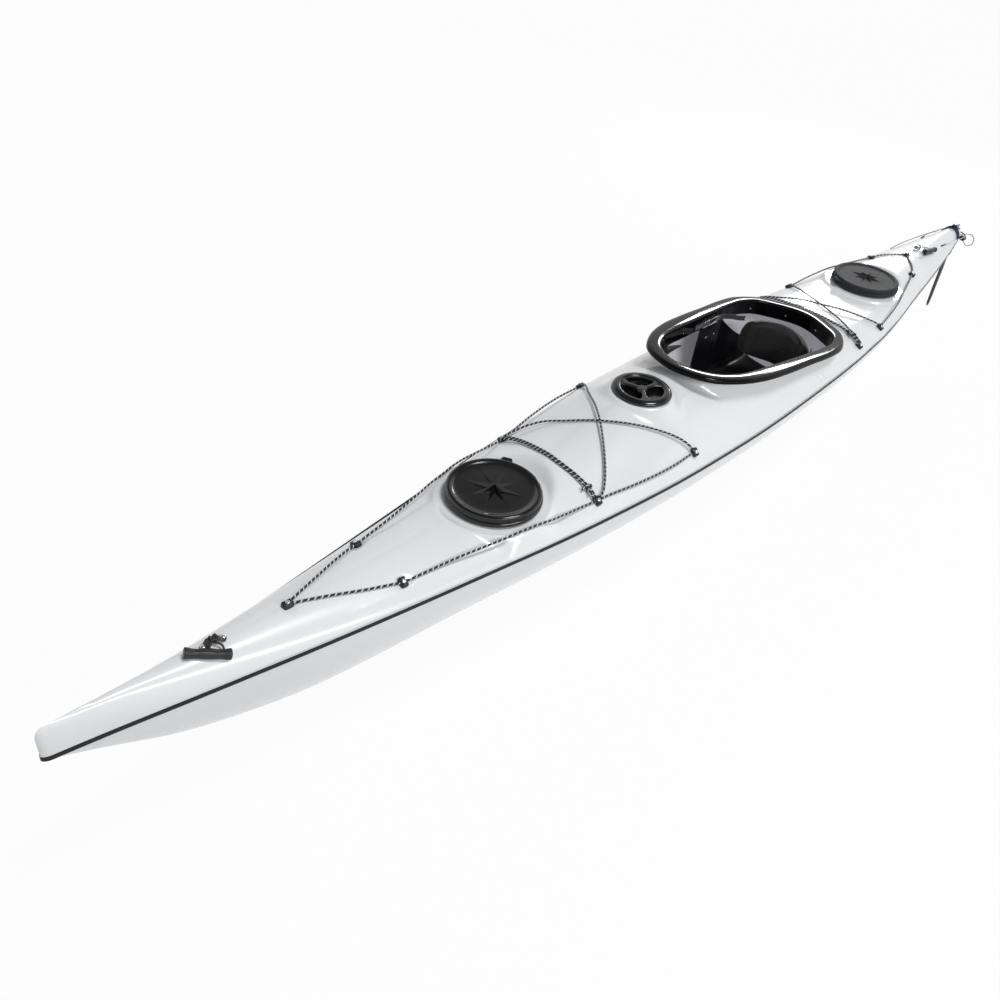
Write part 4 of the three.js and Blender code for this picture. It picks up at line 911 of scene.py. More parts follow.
def makeDeck():
    places = stationPlaces(hullForm["deckColumns"] + 1)
    skin = flatSkin("deckSkin", hullForm["deckColumns"], hullForm["deckRows"])
    for reach in (0.02, 0.004):
        middles = skinPlaces(faceMiddles(skin), places, True)
        wide = beamAt(middles[:, 0]) > 0.05
        pickFaces(skin, nearMoulding(middles[:, 0], middles[:, 1], reach) & wide)
        bpy.ops.mesh.subdivide(number_cuts=1)
        leaveEditMode()
    points = skinPlaces(readPoints(skin), places, True)
    points[:, 2] = moulded(points[:, 0], points[:, 1], points[:, 2])
    writePoints(skin, points)
    # the openings are cut out face by face, then their edges are drawn onto the true outline
    x, y = points[:, 0], points[:, 1]
    inside = np.zeros(len(points), bool)
    for (padX, _, _), hole in zip(deckForm["pads"], deckForm["holes"]):
        inside |= np.hypot(x - padX, y) < hole
    local = (x > -0.9) & (x < 0.25)
    away = np.full(len(points), 1.0)
    away[local] = outOfOpening(x[local], y[local])
    inside |= away < deckForm["cockpitHole"]
    cut = [all(inside[v] for v in polygon.vertices) for polygon in skin.data.polygons]
    pickFaces(skin, cut)
    bpy.ops.mesh.delete(type="FACE")
    leaveEditMode()
    points = readPoints(skin)
    x, y = points[:, 0], points[:, 1]
    for (padX, _, _), hole in zip(deckForm["pads"], deckForm["holes"]):
        near = np.hypot(x - padX, y)
        short = (near < hole) & (near > 1e-6)
        points[short, 0] = padX + (x[short] - padX) * hole / near[short]
        points[short, 1] = y[short] * hole / near[short]
    ring = rimInner + rimOut * deckForm["cockpitHole"]
    local = np.flatnonzero((x > -0.9) & (x < 0.25))
    short = local[outOfOpening(x[local], y[local]) < deckForm["cockpitHole"]]
    for k in short:
        nearest = ring[np.argmin(np.hypot(ring[:, 0] - x[k], ring[:, 1] - y[k]))]
        points[k, :2] = nearest
    drawn = (points[:, :2] != readPoints(skin)[:, :2]).any(axis=1)
    points[drawn, 2] = deckHeight(points[drawn, 0], points[drawn, 1])
    writePoints(skin, points)
    return walled(skin)


def makeHull():
    places = stationPlaces(hullForm["columns"] + 1)
    skin = flatSkin("hullSkin", hullForm["columns"], hullForm["rows"])
    writePoints(skin, skinPlaces(readPoints(skin), places, False))
    return walled(skin)


def facingOut(skin, up):
    # a sheet has no inside: its faces are turned so that the middle of it looks up or down
    solo(skin)
    middle = sum(p.normal.z for p in skin.data.polygons)
    if (middle > 0) != up:
        inEditMode(skin, bpy.ops.mesh.flip_normals)


deckSkin = makeDeck()
dress(deckSkin, "boat", "gelcoat", None, "deck_shell")
print("deck:", len(deckSkin.data.polygons), "faces")
hullSkin = makeHull()
dress(hullSkin, "boat", "gelcoat", None, "hull_shell")
print("hull:", len(hullSkin.data.polygons), "faces")

# Seam band

seamForm = {"height": 0.0162, "near": 0.0002, "proud": 0.0014, "round": 0.0006}


def makeSeam():
    places = stationPlaces(181)
    port = np.stack([places, beamAt(places) * endShrink(places), sheerAt(places)], 1)
    loop = np.concatenate([port, port[-2:0:-1] * (1, -1, 1)])
    ahead = np.roll(loop, -1, axis=0) - np.roll(loop, 1, axis=0)
    out = np.stack([-ahead[:, 1], ahead[:, 0], np.zeros(len(loop))], 1)
    out /= np.linalg.norm(out, axis=1)[:, None]
    f = seamForm
    profile = rounded([(f["near"], -f["height"] / 2), (f["proud"], -f["height"] / 2),
                       (f["proud"], f["height"] / 2), (f["near"], f["height"] / 2)], f["round"], 3)
    ring, outward = closedUp(loop), closedUp(out)
    band = gridSheet("seamBand", [ring + outward * a + (0, 0, b) for a, b in closedUp(profile)])
    layer = band.data.uv_layers[0].data
    for polygon in band.data.polygons:
        for corner in polygon.loop_indices:
            vertex = band.data.vertices[band.data.loops[corner].vertex_index].co
            height = vertex.z - float(sheerAt(vertex.x))
            layer[corner].uv[1] = 0.5 + height / f["height"]
    return smooth(weld(band, 2e-6), 50)


dress(makeSeam(), "boat", "black_plastic", "seam", "seam_strip")

# Cockpit coaming


def makeCoaming():
    f = rimForm
    rows = []
    crown, lip, wall = f["crown"], f["lipWall"], f["wall"]
    # step outwards, depth below the rim's plane, and how far from the inner to the outer edge it is counted
    profile = [
        (0, f["wallDepth"], 0), (0, 0.03, 0), (0.0004, 0.0105, 0), (0.0014, 0.0046, 0), (0.0038, 0.001, 0),
        (0.0078, -0.5 * crown, 0), (0.003, -0.9 * crown, 0.28), (0, -crown, 0.5),
        (-0.002, -0.8 * crown, 0.75), (-0.0075, 0.0004, 1), (-0.003, 0.0034, 1), (-0.0008, 0.0075, 1),
        (0, f["lip"], 1), (-0.001, f["lip"] + 0.0012, 1), (-lip, f["lip"], 1), (-lip - 0.001, 0.009, 1),
        (-0.008, 0.0056, 1), (0, 0.004, 0.5), (wall + 0.006, 0.0052, 0), (wall + 0.0012, 0.01, 0),
        (wall, 0.016, 0), (wall, f["wallDepth"], 0),
    ]
    outlines = [np.array([(step + edge * width, depth) for step, depth, edge in profile])
                for width in rimWidth]
    rings = np.array([rounded(outline, 0.0022, 3) for outline in outlines])
    rings = np.concatenate([rings, rings[:, :1]], axis=1)
    for k in range(rings.shape[1]):
        rows.append(closedUp(rimPlace(rings[:, k, 0], rings[:, k, 1])))
    rim = gridSheet("coamingRim", rows)
    return smooth(weld(rim, 5e-6), 60)


dress(makeCoaming(), "boat", "dark_laminate", "rim", "cockpit_coaming")
print("coaming done")


def openHalfWidth(x):
    port = rimInner[rimInner[:, 1] >= 0]
    order = np.argsort(port[:, 0])
    return np.interp(x, port[order, 0], port[order, 1])


# Seat bucket

seatForm = {
    "frontX": -0.3, "cheekRearX": -0.482, "cheekFall": 0.168, "rearX": -0.65, "panZ": 0.058,
    "frontLip": 0.022, "rearRise": 0.045, "panRound": 0.014, "wall": 0.004, "corner": 0.55,
    "floorShare": 0.94, "rearHalfWidth": 0.15, "rearTop": 0.185, "along": 60, "across": 72,
}


def makeSeat():
    s = seatForm
    rows = []
    for x in np.linspace(s["frontX"], s["rearX"], s["along"]):
        share = (x - s["frontX"]) / (s["rearX"] - s["frontX"])
        cheek = min(max((s["cheekRearX"] - x) / (s["cheekRearX"] - s["rearX"]), 0), 1)
        fade = 1 - min(max((s["cheekRearX"] - x) / s["cheekFall"], 0), 1)
        cheekTop = rimHeight(x) - rimForm["wallDepth"] + 0.003
        top = s["rearTop"] + (cheekTop - s["rearTop"]) * fade**1.2
        open = float(openHalfWidth(max(x, -0.62))) - 0.0006
        wide = s["rearHalfWidth"] + (open - s["rearHalfWidth"]) * (1 - cheek * 0.9)
        pan = s["panZ"] + s["frontLip"] * (1 - share) ** 3 + s["rearRise"] * share**4
        floor = wide * s["floorShare"]
        row = []
        for t in np.linspace(-1, 1, s["across"]):
            far, side = abs(t), math.copysign(1, t)
            if far > s["corner"]:
                up = (far - s["corner"]) / (1 - s["corner"])
                out = floor + (wide - floor) * min(up * 3, 1)
                row.append((x, side * out, pan + s["panRound"] + (top - pan - s["panRound"]) * up))
            else:
                out = far / s["corner"]
                row.append((x, side * floor * out, pan + s["panRound"] * out**3))
        rows.append(row)
    rows = np.array(rows)
    for _ in range(4):
        rows[1:-1, 1:-1] = 0.5 * rows[1:-1, 1:-1] + 0.25 * (rows[1:-1, :-2] + rows[1:-1, 2:])
    seat = weld(gridSheet("seatBucket", rows))
    facingOut(seat, True)
    applyModifier(seat, "SOLIDIFY", thickness=s["wall"], offset=-1)
    return smooth(seat, 50)


dress(makeSeat(), "boat", "dark_laminate", "seat", "seat")


def domeHead(name, place, normal, radius, tall, sides=20):
    # a small round head that stands on a surface
    head = turned(name, ((0, 0), (radius, 0), (radius, 0.35 * tall), (0.86 * radius, 0.68 * tall),
                         (0.55 * radius, 0.93 * tall), (0, tall)), sides)
    heading = (1, 0) if abs(normal[0]) < 0.9 else (0, 1)
    return moved(head, standing(place, normal, heading))


wallHeadForm = {
    "bolts": ((-0.3607, 0.108), (-0.4285, 0.109)), "boltRadius": 0.0052, "boltTall": 0.0026,
    "boltInset": 0.0042, "rivetShares": (0.06, 0.17, 0.29, 0.4, 0.465, 0.535, 0.6, 0.71, 0.83, 0.94),
    "rivetDrop": 0.037, "rivetRadius": 0.0036, "rivetTall": 0.0016,
}


def makeWallHeads():
    # bolts through the seat cheeks and rivets round the wall of the opening
    f = wallHeadForm
    heads = []
    for x, drop in f["bolts"]:
        for side in (1, -1):
            place = (x, side * (float(openHalfWidth(x)) - f["boltInset"]), float(rimHeight(x)) - drop)
            heads.append(domeHead("bolt", place, (0, -side, 0), f["boltRadius"], f["boltTall"]))
    for share in f["rivetShares"]:
        k = int(share * len(rimInner))
        place = (*rimInner[k], float(rimHeight(rimInner[k, 0])) - f["rivetDrop"])
        heads.append(domeHead("rivet", place, (*-rimOut[k], 0), f["rivetRadius"], f["rivetTall"]))
    return smooth(joined("wallHeads", *heads))


dress(makeWallHeads(), "boat", "steel", "steel")

# Back band: a padded pillow that wraps forward at its ends

bandForm = {
    "x": -0.622, "bottom": 0.138, "height": 0.179, "halfWidth": 0.152, "thick": 0.034, "wrap": 0.062,
    "lean": 0.012, "across": 56, "up": 34,
}


def makeBackBand():
    b = bandForm
    faces = []
    for way in (1, -1):
        sheet = []
        for u in np.linspace(0, 1, b["up"]):
            row = []
            for t in np.linspace(-1, 1, b["across"]):
                # a rounded oblong, crowned between its edges
                crown = (1 - abs(2 * u - 1) ** 3.6) * (1 - abs(t) ** 5)
                width = b["halfWidth"] * (0.66 + 0.34 * max(1 - abs(2 * u - 1) ** 2.4, 0) ** 0.5)
                tall = 1 - 0.18 * abs(t) ** 3
                z = b["bottom"] + b["height"] * (0.5 + (u - 0.5) * tall)
                thick = 0.5 * b["thick"] * max(crown, 0) ** 0.42
                x = b["x"] + b["wrap"] * t * t - b["lean"] * u
                row.append((x + way * max(thick, 0), width * t, z))
            sheet.append(row)
        faces.append(np.array(sheet))
    front, rear = faces
    return smooth(weld(gridSheet("backBand", closedUp(np.concatenate([front, rear[::-1]])))), 70)


def puffed(piece, voxel, pressure, cap):
    # air pressure swells the pad like its foam does; no point moves further than the cap
    solo(piece)
    piece.data.remesh_voxel_size = voxel
    bpy.ops.object.voxel_remesh()
    before = readPoints(piece)
    cloth = piece.modifiers.new("padCloth", "CLOTH")
    cloth.settings.quality = 6
    cloth.settings.use_pressure = True
    cloth.settings.uniform_pressure_force = pressure
    cloth.settings.effector_weights.gravity = 0
    scene = bpy.context.scene
    for frameNumber in range(1, 21):
        scene.frame_set(frameNumber)
    after = piece.evaluated_get(bpy.context.evaluated_depsgraph_get())
    points = np.array([vertex.co for vertex in after.data.vertices])
    piece.modifiers.remove(cloth)
    scene.frame_set(1)
    step = points - before
    step -= step.mean(axis=0)
    far = np.linalg.norm(step, axis=1)[:, None]
    writePoints(piece, before + step * np.minimum(1, cap / np.maximum(far, 1e-9)))
    applyModifier(piece, "SUBSURF", levels=1, render_levels=1)
    return piece


def sewn(piece):
    # two sewn channels and a line across the middle between them, pressed in after the swelling
    b = bandForm
    points = readPoints(piece)
    normals = np.array([vertex.normal for vertex in piece.data.vertices])
    t = np.abs(points[:, 1]) / b["halfWidth"]
    level = (points[:, 2] - b["bottom"]) / b["height"]
    channel = np.exp(-(((t - 0.6) / 0.022) ** 2)) * np.clip(6 * np.minimum(level - 0.1, 0.9 - level), 0, 1)
    cross = np.exp(-(((level - 0.5) / 0.02) ** 2)) * (t < 0.6)
    pressed = 0.003 * np.maximum(channel, 0.6 * cross)
    return writePoints(piece, points - normals * pressed[:, None])


backBand = makeBackBand()
sewn(puffed(backBand, 0.005, 4.0, 0.006))
smooth(backBand, 70)
dress(backBand, "back_rest", "foam_cover", "foam", "back_band")

# Straps of the back band, each with a buckle

strapForm = {
    "width": 0.02, "thick": 0.0024, "drop": 0.04, "gap": 0.0005,
    "wallPlaces": (-0.244, -0.3, -0.36, -0.417, -0.462),
    "bandPlaces": ((-0.51, 0.1746, 0.312), (-0.545, 0.1576, 0.303), (-0.567, 0.1474, 0.3)),
    "buckleX": -0.33, "slider": 0.034, "plate": 0.06, "plateGap": 0.056, "bar": 0.0042, "barHeight": 0.025,
    "railZ": 0.0118,
}


def makeStrap(side):
    s = strapForm
    wall = [(x, float(openHalfWidth(x)) - s["gap"] - s["thick"], float(rimHeight(x)) - s["drop"])
            for x in s["wallPlaces"]]
    route = throughPoints(wall + list(s["bandPlaces"]), 60)
    rows = []
    for lift in (-0.5, -0.25, 0, 0.25, 0.5):
        rows.append([(x, side * y, z + lift * s["width"]) for x, y, z in route])
    strap = weld(gridSheet("strapWeb", rows, s["width"], runAlong(route)[-1]))
    middle = len(strap.data.polygons) // 2
    if strap.data.polygons[middle].normal.y * side > 0:
        inEditMode(strap, bpy.ops.mesh.flip_normals)
    applyModifier(strap, "SOLIDIFY", thickness=s["thick"], offset=-1)
    return smooth(strap, 50)


def makeBuckle(side):
    # a slider with two bars and the long plate that the strap runs through
    s = strapForm
    parts = []
    sliderBars = (-0.0045, 0.006)
    for x, length, bars in ((s["buckleX"], s["slider"], sliderBars),
                            (s["buckleX"] - s["plateGap"], s["plate"], ())):
        y = float(openHalfWidth(x)) - s["gap"] - s["thick"] - 0.002
        z = float(rimHeight(x)) - s["drop"]
        for dx in (-length / 2, *bars, length / 2):
            parts.append(block("bar", (s["bar"], s["bar"], s["barHeight"]), 0.0012, 3, (x + dx, side * y, z)))
        for dz in (-s["railZ"], s["railZ"]):
            parts.append(block("rail", (length, 0.0046, 0.0038), 0.0012, 3, (x, side * y, z + dz)))
        if not bars:
            parts.append(block("plate", (length, 0.0024, 0.0225), 0.0008, 2, (x, side * (y + 0.0006), z)))
    return smooth(joined("strapBuckle", *parts))


for side, label in bothSides:
    strap = makeStrap(side)
    strap.name = f"bandStrap.{label}"
    dress(strap, "boat", "webbing", "webbing", f"band_strap_{label}")
    buckle = makeBuckle(side)
    buckle.name = f"strapBuckle.{label}"
    dress(buckle, "boat", "steel", "steel")
print("seat, band and straps done")

# Hatches: a rim on the pad and a cover pressed over it

hatchForm = {
    "top": 0.304, "sides": 96, "screws": 8, "screwRing": 0.1275, "screwSeat": 0.003,
    "screw": ((0, 0), (0.003, 0), (0.003, 0.0006), (0.0022, 0.0014), (0, 0.0017)),
    "rim": ((0.118, -0.024), (0.1216, -0.024), (0.1216, 0.0003), (0.133, 0.0003), (0.133, 0.0026),
            (0.1322, 0.003), (0.1216, 0.003), (0.1216, 0.015), (0.1296, 0.015), (0.1296, 0.02),
            (0.1286, 0.021), (0.118, 0.021)),
    "cover": ((0.0, 0.023), (0.132, 0.023), (0.132, 0.0033), (0.1405, 0.0033), (0.142, 0.0042),
              (0.1428, 0.0062), (0.1428, 0.0105), (0.1418, 0.0132), (0.1395, 0.015), (0.138, 0.0166),
              (0.1378, 0.0188), (0.1388, 0.0215), (0.1392, 0.0255), (0.1384, 0.0296), (0.1362, 0.0326),
              (0.133, 0.0341), (0.129, 0.0342), (0.1245, 0.0334), (0.1205, 0.0318), (0.1172, 0.03),
              (0.114, 0.029), (0.108, 0.0287), (0.08, 0.0287), (0.04, 0.0289), (0.0, 0.029)),
    "star": {"long": 0.09, "short": 0.074, "waist": 0.0175, "height": 0.016, "base": 0.0284},
}


def makeStar(long, short, waist, height, base, turn):
    # eight tapered rays, long and short in turn, with a ridge along each
    star = added("star", bpy.ops.mesh.primitive_cone_add, vertices=16, radius1=long, depth=height,
                 end_fill_type="NGON")
    points = readPoints(star)
    for k, (x, y, _) in enumerate(points):
        if math.hypot(x, y) < 1e-6:
            points[k] = (0, 0, base + height)
            continue
        step = round(math.atan2(y, x) / (math.pi / 8))
        reach = waist if step % 2 else (long if step % 4 == 0 else short)
        angle = step * math.pi / 8 + math.radians(turn)
        points[k] = (reach * math.cos(angle), reach * math.sin(angle), base)
    return smooth(writePoints(star, points), 4)


tabForm = {"wide": 0.04, "long": 0.026, "thick": 0.0052, "reach": 0.1365, "z": 0.0236, "ribZ": 0.0269,
           "ribStep": 0.0045}


def makeTab():
    # a pull tab that narrows and lifts outwards, with three ribs across
    f = tabForm
    tab = block("tab", (f["wide"], f["long"], f["thick"]), 0.0022, 3)
    points = readPoints(tab)
    outwards = points[:, 1] / (f["long"] / 2)
    points[:, 0] *= 1 - 0.28 * np.clip(outwards, -0.4, 1)
    points[:, 2] += 0.0022 * np.clip(outwards, 0, 1) ** 2
    writePoints(tab, points + (0, f["reach"] + 0.008, f["z"]))
    ribs = []
    for k in range(3):
        place = (0, f["reach"] + 0.01 + k * f["ribStep"], f["ribZ"] + k * 0.0005)
        ribs.append(block("tabRib", (0.026, 0.002, 0.0018), 0.0006, 2, place))
    return joined("tab", tab, *ribs)


def makeHatch(label, x, tabTurn, starTurn, starSize, finish):
    f = hatchForm
    place = (x, 0, f["top"])
    rim = smooth(turned(f"{label}HatchRim", f["rim"] + f["rim"][:1], f["sides"], place, ring=True))
    screws = []
    for k in range(f["screws"]):
        turn = math.radians((k + 0.5) * 360 / f["screws"])
        at = (x + f["screwRing"] * math.cos(turn), f["screwRing"] * math.sin(turn), f["top"] + f["screwSeat"])
        screws.append(turned("screw", f["screw"], 12, at))
    heads = smooth(joined(f"{label}RimScrews", *screws))
    dress(rim, "boat", "black_plastic", "plastic", f"{label}_hatch_rim")
    dress(heads, "boat", "steel", "steel")
    cap = smooth(turned(f"{label}HatchCover", f["cover"], f["sides"]), 32)
    shape = {part: size if part == "base" else size * starSize for part, size in f["star"].items()}
    star = makeStar(turn=starTurn, **shape)
    tab = moved(smooth(makeTab(), 32), Matrix.Rotation(math.radians(tabTurn - 90), 4, "Z"))
    cover = joined(f"{label}HatchCover", cap, star, tab)
    moved(cover, Matrix.Translation(place))
    dress(cover, f"{label}_cover", "hatch_rubber", finish, f"{label}_hatch_cover")


makeHatch("bow", 1.033, 209, 27, 1.0, "bowRubber")
# the stern cover's grey sheen is painted into its rubber's colour
makeHatch("stern", -1.311, 330, 5, 0.78, "sternRubberPaintedSheen")
print("hatches done")

# Deck plate: ring, seal and a lid with a three-armed grip

plateForm = {
    "place": (0.352, 0, 0.397), "sides": 96, "turn": 47, "armTop": 0.01, "armFoot": -0.0105,
    "armSlope": 0.002,
    "arm": ((0.0, 0.0084), (0.022, 0.0072), (0.042, 0.008), (0.056, 0.0124), (0.0688, 0.0205)),
    "seal": ((0.08, 0.0038), (0.085, 0.0038), (0.0853, 0.0045), (0.085, 0.0054), (0.08, 0.0054),
             (0.0797, 0.0045), (0.08, 0.0038)),
    "ring": ((0.078, -0.02), (0.082, -0.02), (0.082, 0.0003), (0.0968, 0.0003), (0.0982, 0.0012),
             (0.0983, 0.003), (0.0975, 0.0054), (0.0957, 0.0078), (0.093, 0.0098), (0.09, 0.0112),
             (0.0874, 0.0119), (0.0868, 0.0114), (0.0868, 0.0035), (0.078, 0.0035)),
    "lid": ((0.0, -0.0142), (0.075, -0.0142), (0.077, -0.012), (0.077, 0.0058), (0.0862, 0.0058),
            (0.0864, 0.0114), (0.0858, 0.0121), (0.083, 0.0127), (0.079, 0.0129), (0.075, 0.0125),
            (0.0722, 0.0114), (0.0706, 0.0094), (0.0692, 0.006), (0.0668, -0.007), (0.064, -0.0098),
            (0.058, -0.0108), (0.0, -0.011)),
}


def makePlate():
    p = plateForm
    ring = smooth(turned("plateRing", p["ring"] + p["ring"][:1], p["sides"], p["place"], ring=True))
    dress(ring, "boat", "black_plastic", "satin", "deck_plate_ring")
    seal = turned("plateSeal", p["seal"], p["sides"], p["place"], ring=True)
    dress(smooth(seal), "plate_seal", "hatch_rubber", "seal", "deck_plate_seal")
    lid = smooth(turned("plateLid", p["lid"], p["sides"]), 32)
    top, foot, slope = p["armTop"], p["armFoot"], p["armSlope"]
    arms = []
    for k in range(3):
        # an arm that widens into the ring, its top a raised web with rounded edges
        rows = []
        for x, half in p["arm"]:
            section = [(-half - slope, foot), (-half, top - 0.003), (-half + 0.0022, top),
                       (half - 0.0022, top), (half, top - 0.003), (half + slope, foot)]
            rows.append([(x, a, b) for a, b in rounded(section, 0.0016, 3, closed=False)])
        arm = gridSheet("arm", rows)
        facingOut(arm, True)
        arms.append(moved(smooth(arm, 40), Matrix.Rotation(math.radians(p["turn"] + 120 * k), 4, "Z")))
    hub = smooth(turned("hub", ((0, -0.009), (0.02, -0.009), (0.0175, top - 0.002), (0.015, top + 0.0004),
                                (0, top + 0.0008)), 36))
    lid = joined("plateLid", lid, hub, *arms)
    moved(lid, Matrix.Translation(p["place"]))
    dress(lid, "plate_lid", "black_plastic", "satin", "deck_plate_lid")


makePlate()
print("deck plate done")

# Line fittings: a block with a screw head, made once and set on every place

fittingForm = {
    "along": 0.0205, "across": 0.0285, "height": 0.013, "sunk": 0.004, "corner": 0.0042, "head": 0.0062,
    "headZ": 0.0134,
}


def makeFitting():
    f = fittingForm
    tall = f["height"] + f["sunk"]
    body = block("fitting", (f["along"], f["across"], tall), 0, place=(0, 0, (f["height"] - f["sunk"]) / 2))
    solo(body)
    bpy.ops.object.mode_set(mode="EDIT")
    bpy.ops.mesh.select_all(action="DESELECT")
    bpy.ops.object.mode_set(mode="OBJECT")
    for edge in body.data.edges:
        a, b = (body.data.vertices[v].co for v in edge.vertices)
        edge.select = abs(a.z - b.z) > 0.001
    bpy.ops.object.mode_set(mode="EDIT")
    bpy.context.tool_settings.mesh_select_mode = (False, True, False)
    bpy.ops.mesh.bevel(offset=f["corner"], segments=4, affect="EDGES")
    leaveEditMode()
    top = [p.normal.z > 0.9 for p in body.data.polygons]
    pickFaces(body, top)
    bpy.ops.mesh.inset(thickness=0.0022)
    bpy.ops.transform.translate(value=(0, 0, 0.0016))
    bpy.ops.mesh.inset(thickness=0.003)
    bpy.ops.transform.translate(value=(0, 0, -0.001))
    leaveEditMode()
    applyModifier(body, "BEVEL", width=0.0009, segments=2, limit_method="ANGLE", angle_limit=math.radians(28))
    r = f["head"]
    profile = ((0, 0), (r, 0), (r, 0.001), (r * 0.86, 0.0024), (r * 0.55, 0.0034), (r * 0.5, 0.0034),
               (r * 0.44, 0.002), (0, 0.002))
    head = turned("head", profile, 28, (0, 0, f["headZ"]))
    return smooth(body), smooth(head)


fittingBody, fittingHead = makeFitting()
for label, x, y in fittingSpots():
    stand = standing(onDeck(x, y), deckNormal(x, y, 0.03)[0], cordHeading(x, y))
    piece = moved(copied(fittingBody, f"fitting.{label}"), stand)
    head = moved(copied(fittingHead, f"fittingHead.{label}"), stand)
    dress(piece, "boat", "black_plastic", "plastic", f"line_fitting_{label}")
    dress(head, "boat", "steel", "steel")
for piece in (fittingBody, fittingHead):
    bpy.data.objects.remove(piece)
print("fittings done")

# Deck lines: routes in plan as (x, y, lift over the deck)

low, high = 0.0048, 0.0114
foreSide = [
    (1.459, 0.09, low), (1.312, 0.113, low), (1.153, 0.144, low + 0.0015), (0.98, 0.174, low + 0.0015),
    (0.787, 0.19, low), (0.615, 0.22, low), (0.479, 0.235, low), (0.343, 0.235, low)]


def mirrored(points):
    return [(x, -y, lift) for x, y, lift in points]


forePerimeter = mirrored(foreSide)[::-1] + [
    (1.545, -0.067, low), (1.642, -0.034, low), (1.715, -0.01, low), (1.745, 0, low), (1.715, 0.01, low),
    (1.642, 0.034, low), (1.545, 0.067, low)] + foreSide
foreCross = [
    (0.355, 0.231, high), (0.383, 0.195, high), (0.463, 0.118, 0.009), (0.578, 0.004, 0.006),
    (0.627, -0.063, 0.006), (0.669, -0.135, 0.006), (0.722, -0.17, 0.007), (0.757, -0.182, high),
    (0.778, -0.187, high)]
foreCrossOver = [
    (0.355, 0.231, high), (0.395, 0.185, high), (0.465, 0.118, 0.009), (0.532, 0.04, 0.0125),
    (0.579, -0.012, 0.013), (0.645, -0.085, 0.01), (0.711, -0.15, 0.007), (0.757, -0.182, high),
    (0.778, -0.187, high)]
foreDouble = [[
    (x, 0.186, high), (x - 0.004, 0.154, 0.009), (x - 0.002, 0.1, 0.006), (x + 0.005, 0.03, 0.0055),
    (x + 0.003, -0.05, 0.0055), (x - 0.004, -0.12, 0.007), (x - 0.002 + bow, -0.168, high),
    (x, -0.185, high)]
              for x, bow in ((0.79, 0), (0.799, 0.002))]
aftSide = [
    (-1.054, 0.212, low), (-1.225, 0.188, low + 0.0015), (-1.4, 0.146, low + 0.0015), (-1.575, 0.099, low),
    (-1.63, 0.072, low), (-1.69, 0.024, low), (-1.725, 0, low)]
aftPerimeter = aftSide + mirrored(aftSide)[:-1][::-1]
aftCross = [
    (-0.84, 0.225, high), (-0.86, 0.17, 0.008), (-0.9, 0.095, 0.006), (-0.945, 0, 0.006),
    (-0.985, -0.09, 0.006), (-1.02, -0.165, 0.008), (-1.045, -0.207, high)]
aftCrossOver = [(x, y, 0.0126 if 1 < k < 5 else lift) for k, (x, y, lift) in enumerate(aftCross)]
aftDouble = [[
    (x, 0.223, high), (x - 0.016, 0.175, 0.009), (x - 0.024, 0.11, 0.006), (x - 0.026, 0.03, 0.0055),
    (x - 0.024, -0.05, 0.0055), (x - 0.018, -0.12, 0.006), (x - 0.004, -0.19, high), (x, -0.223, high)]
             for x in (-0.828, -0.819)]


def taut(path, reach=0.022):
    # between two fittings a line is pulled straight over whatever stands highest
    spots = np.array([(x, y) for _, x, y in fittingSpots()])
    near = np.array([np.hypot(*(spots - p[:2]).T).min() for p in path])
    held = [0]
    for k in range(1, len(path) - 1):
        if near[k] < reach and near[k] <= near[k - 1] and near[k] < near[k + 1]:
            held.append(k)
    held.append(len(path) - 1)
    run = runAlong(path[:, :2])
    path = path.copy()
    for first, last in zip(held, held[1:]):
        top = [first]
        for k in range(first + 1, last + 1):
            while len(top) > 1:
                a, b = top[-2], top[-1]
                riseTop, riseHere = path[b, 2] - path[a, 2], path[k, 2] - path[a, 2]
                if riseTop * (run[k] - run[a]) <= riseHere * (run[b] - run[a]):
                    top.pop()
                else:
                    break
            top.append(k)
        path[first:last + 1, 2] = np.interp(run[first:last + 1], run[top], path[top, 2])
    return path


def overDeck(route, spacing=0.004):
    plan = np.array(route)
    line = throughPoints(plan, max(int(runAlong(plan)[-1] / spacing), 12))
    normal = deckNormal(line[:, 0], line[:, 1], 0.012)
    seat = np.column_stack([line[:, :2], deckHeight(line[:, 0], line[:, 1])])
    lift = line[:, 2]
    return taut(seat + normal * lift[:, None])


def eased(path, passes):
    path = path.copy()
    for _ in range(passes):
        path[1:-1] = 0.5 * path[1:-1] + 0.25 * (path[:-2] + path[2:])
    return path


cordForm = {"single": 0.0067, "doubled": 0.0062, "knot": 0.0086, "knotLift": 0.012}


def deckLine(name, node, route, finish="braid"):
    line = tube(name, eased(overDeck(route), 10), cordForm["single"], 12)
    return dress(line, "boat", "deck_line", finish, node)


def knotTurns(place, size, heading, rise=0.006):
    # an overhand knot: one loop of the cord that crosses itself three times
    turns = []
    for t in np.linspace(0.35, 2 * math.pi - 0.35, 60):
        x, y = math.sin(t) + 2 * math.sin(2 * t), math.cos(t) - 2 * math.cos(2 * t)
        turns.append((size * x / 2.6, size * y / 2.6, -rise * 0.75 * math.sin(3 * t)))
    return np.array([Matrix.Rotation(heading, 3, "Z") @ Vector(p) for p in turns]) + place


def tiedLines(name, node, pair, knotAt, heading):
    cord = cordForm["doubled"]
    strands = [tube(f"{name}.strand", eased(overDeck(route), 10), cord, 12) for route in pair]
    place = np.array(onDeck(*knotAt, cordForm["knotLift"]))
    knot = tube(f"{name}.knot", knotTurns(place, cordForm["knot"], heading), cord, 12)
    ends = []
    for lean in (-0.5, 0.7):
        way = np.array([math.cos(heading + lean), math.sin(heading + lean), 0])
        end = throughPoints([place, place + way * 0.012 + (0, 0, 0.002),
                             place + way * 0.026 + (0, 0, -0.003)], 14)
        ends.append(tube(f"{name}.end", end, cord, 12))
    line = joined(name, *strands, knot, *ends)
    return dress(line, "boat", "deck_line", "fineBraid", node)


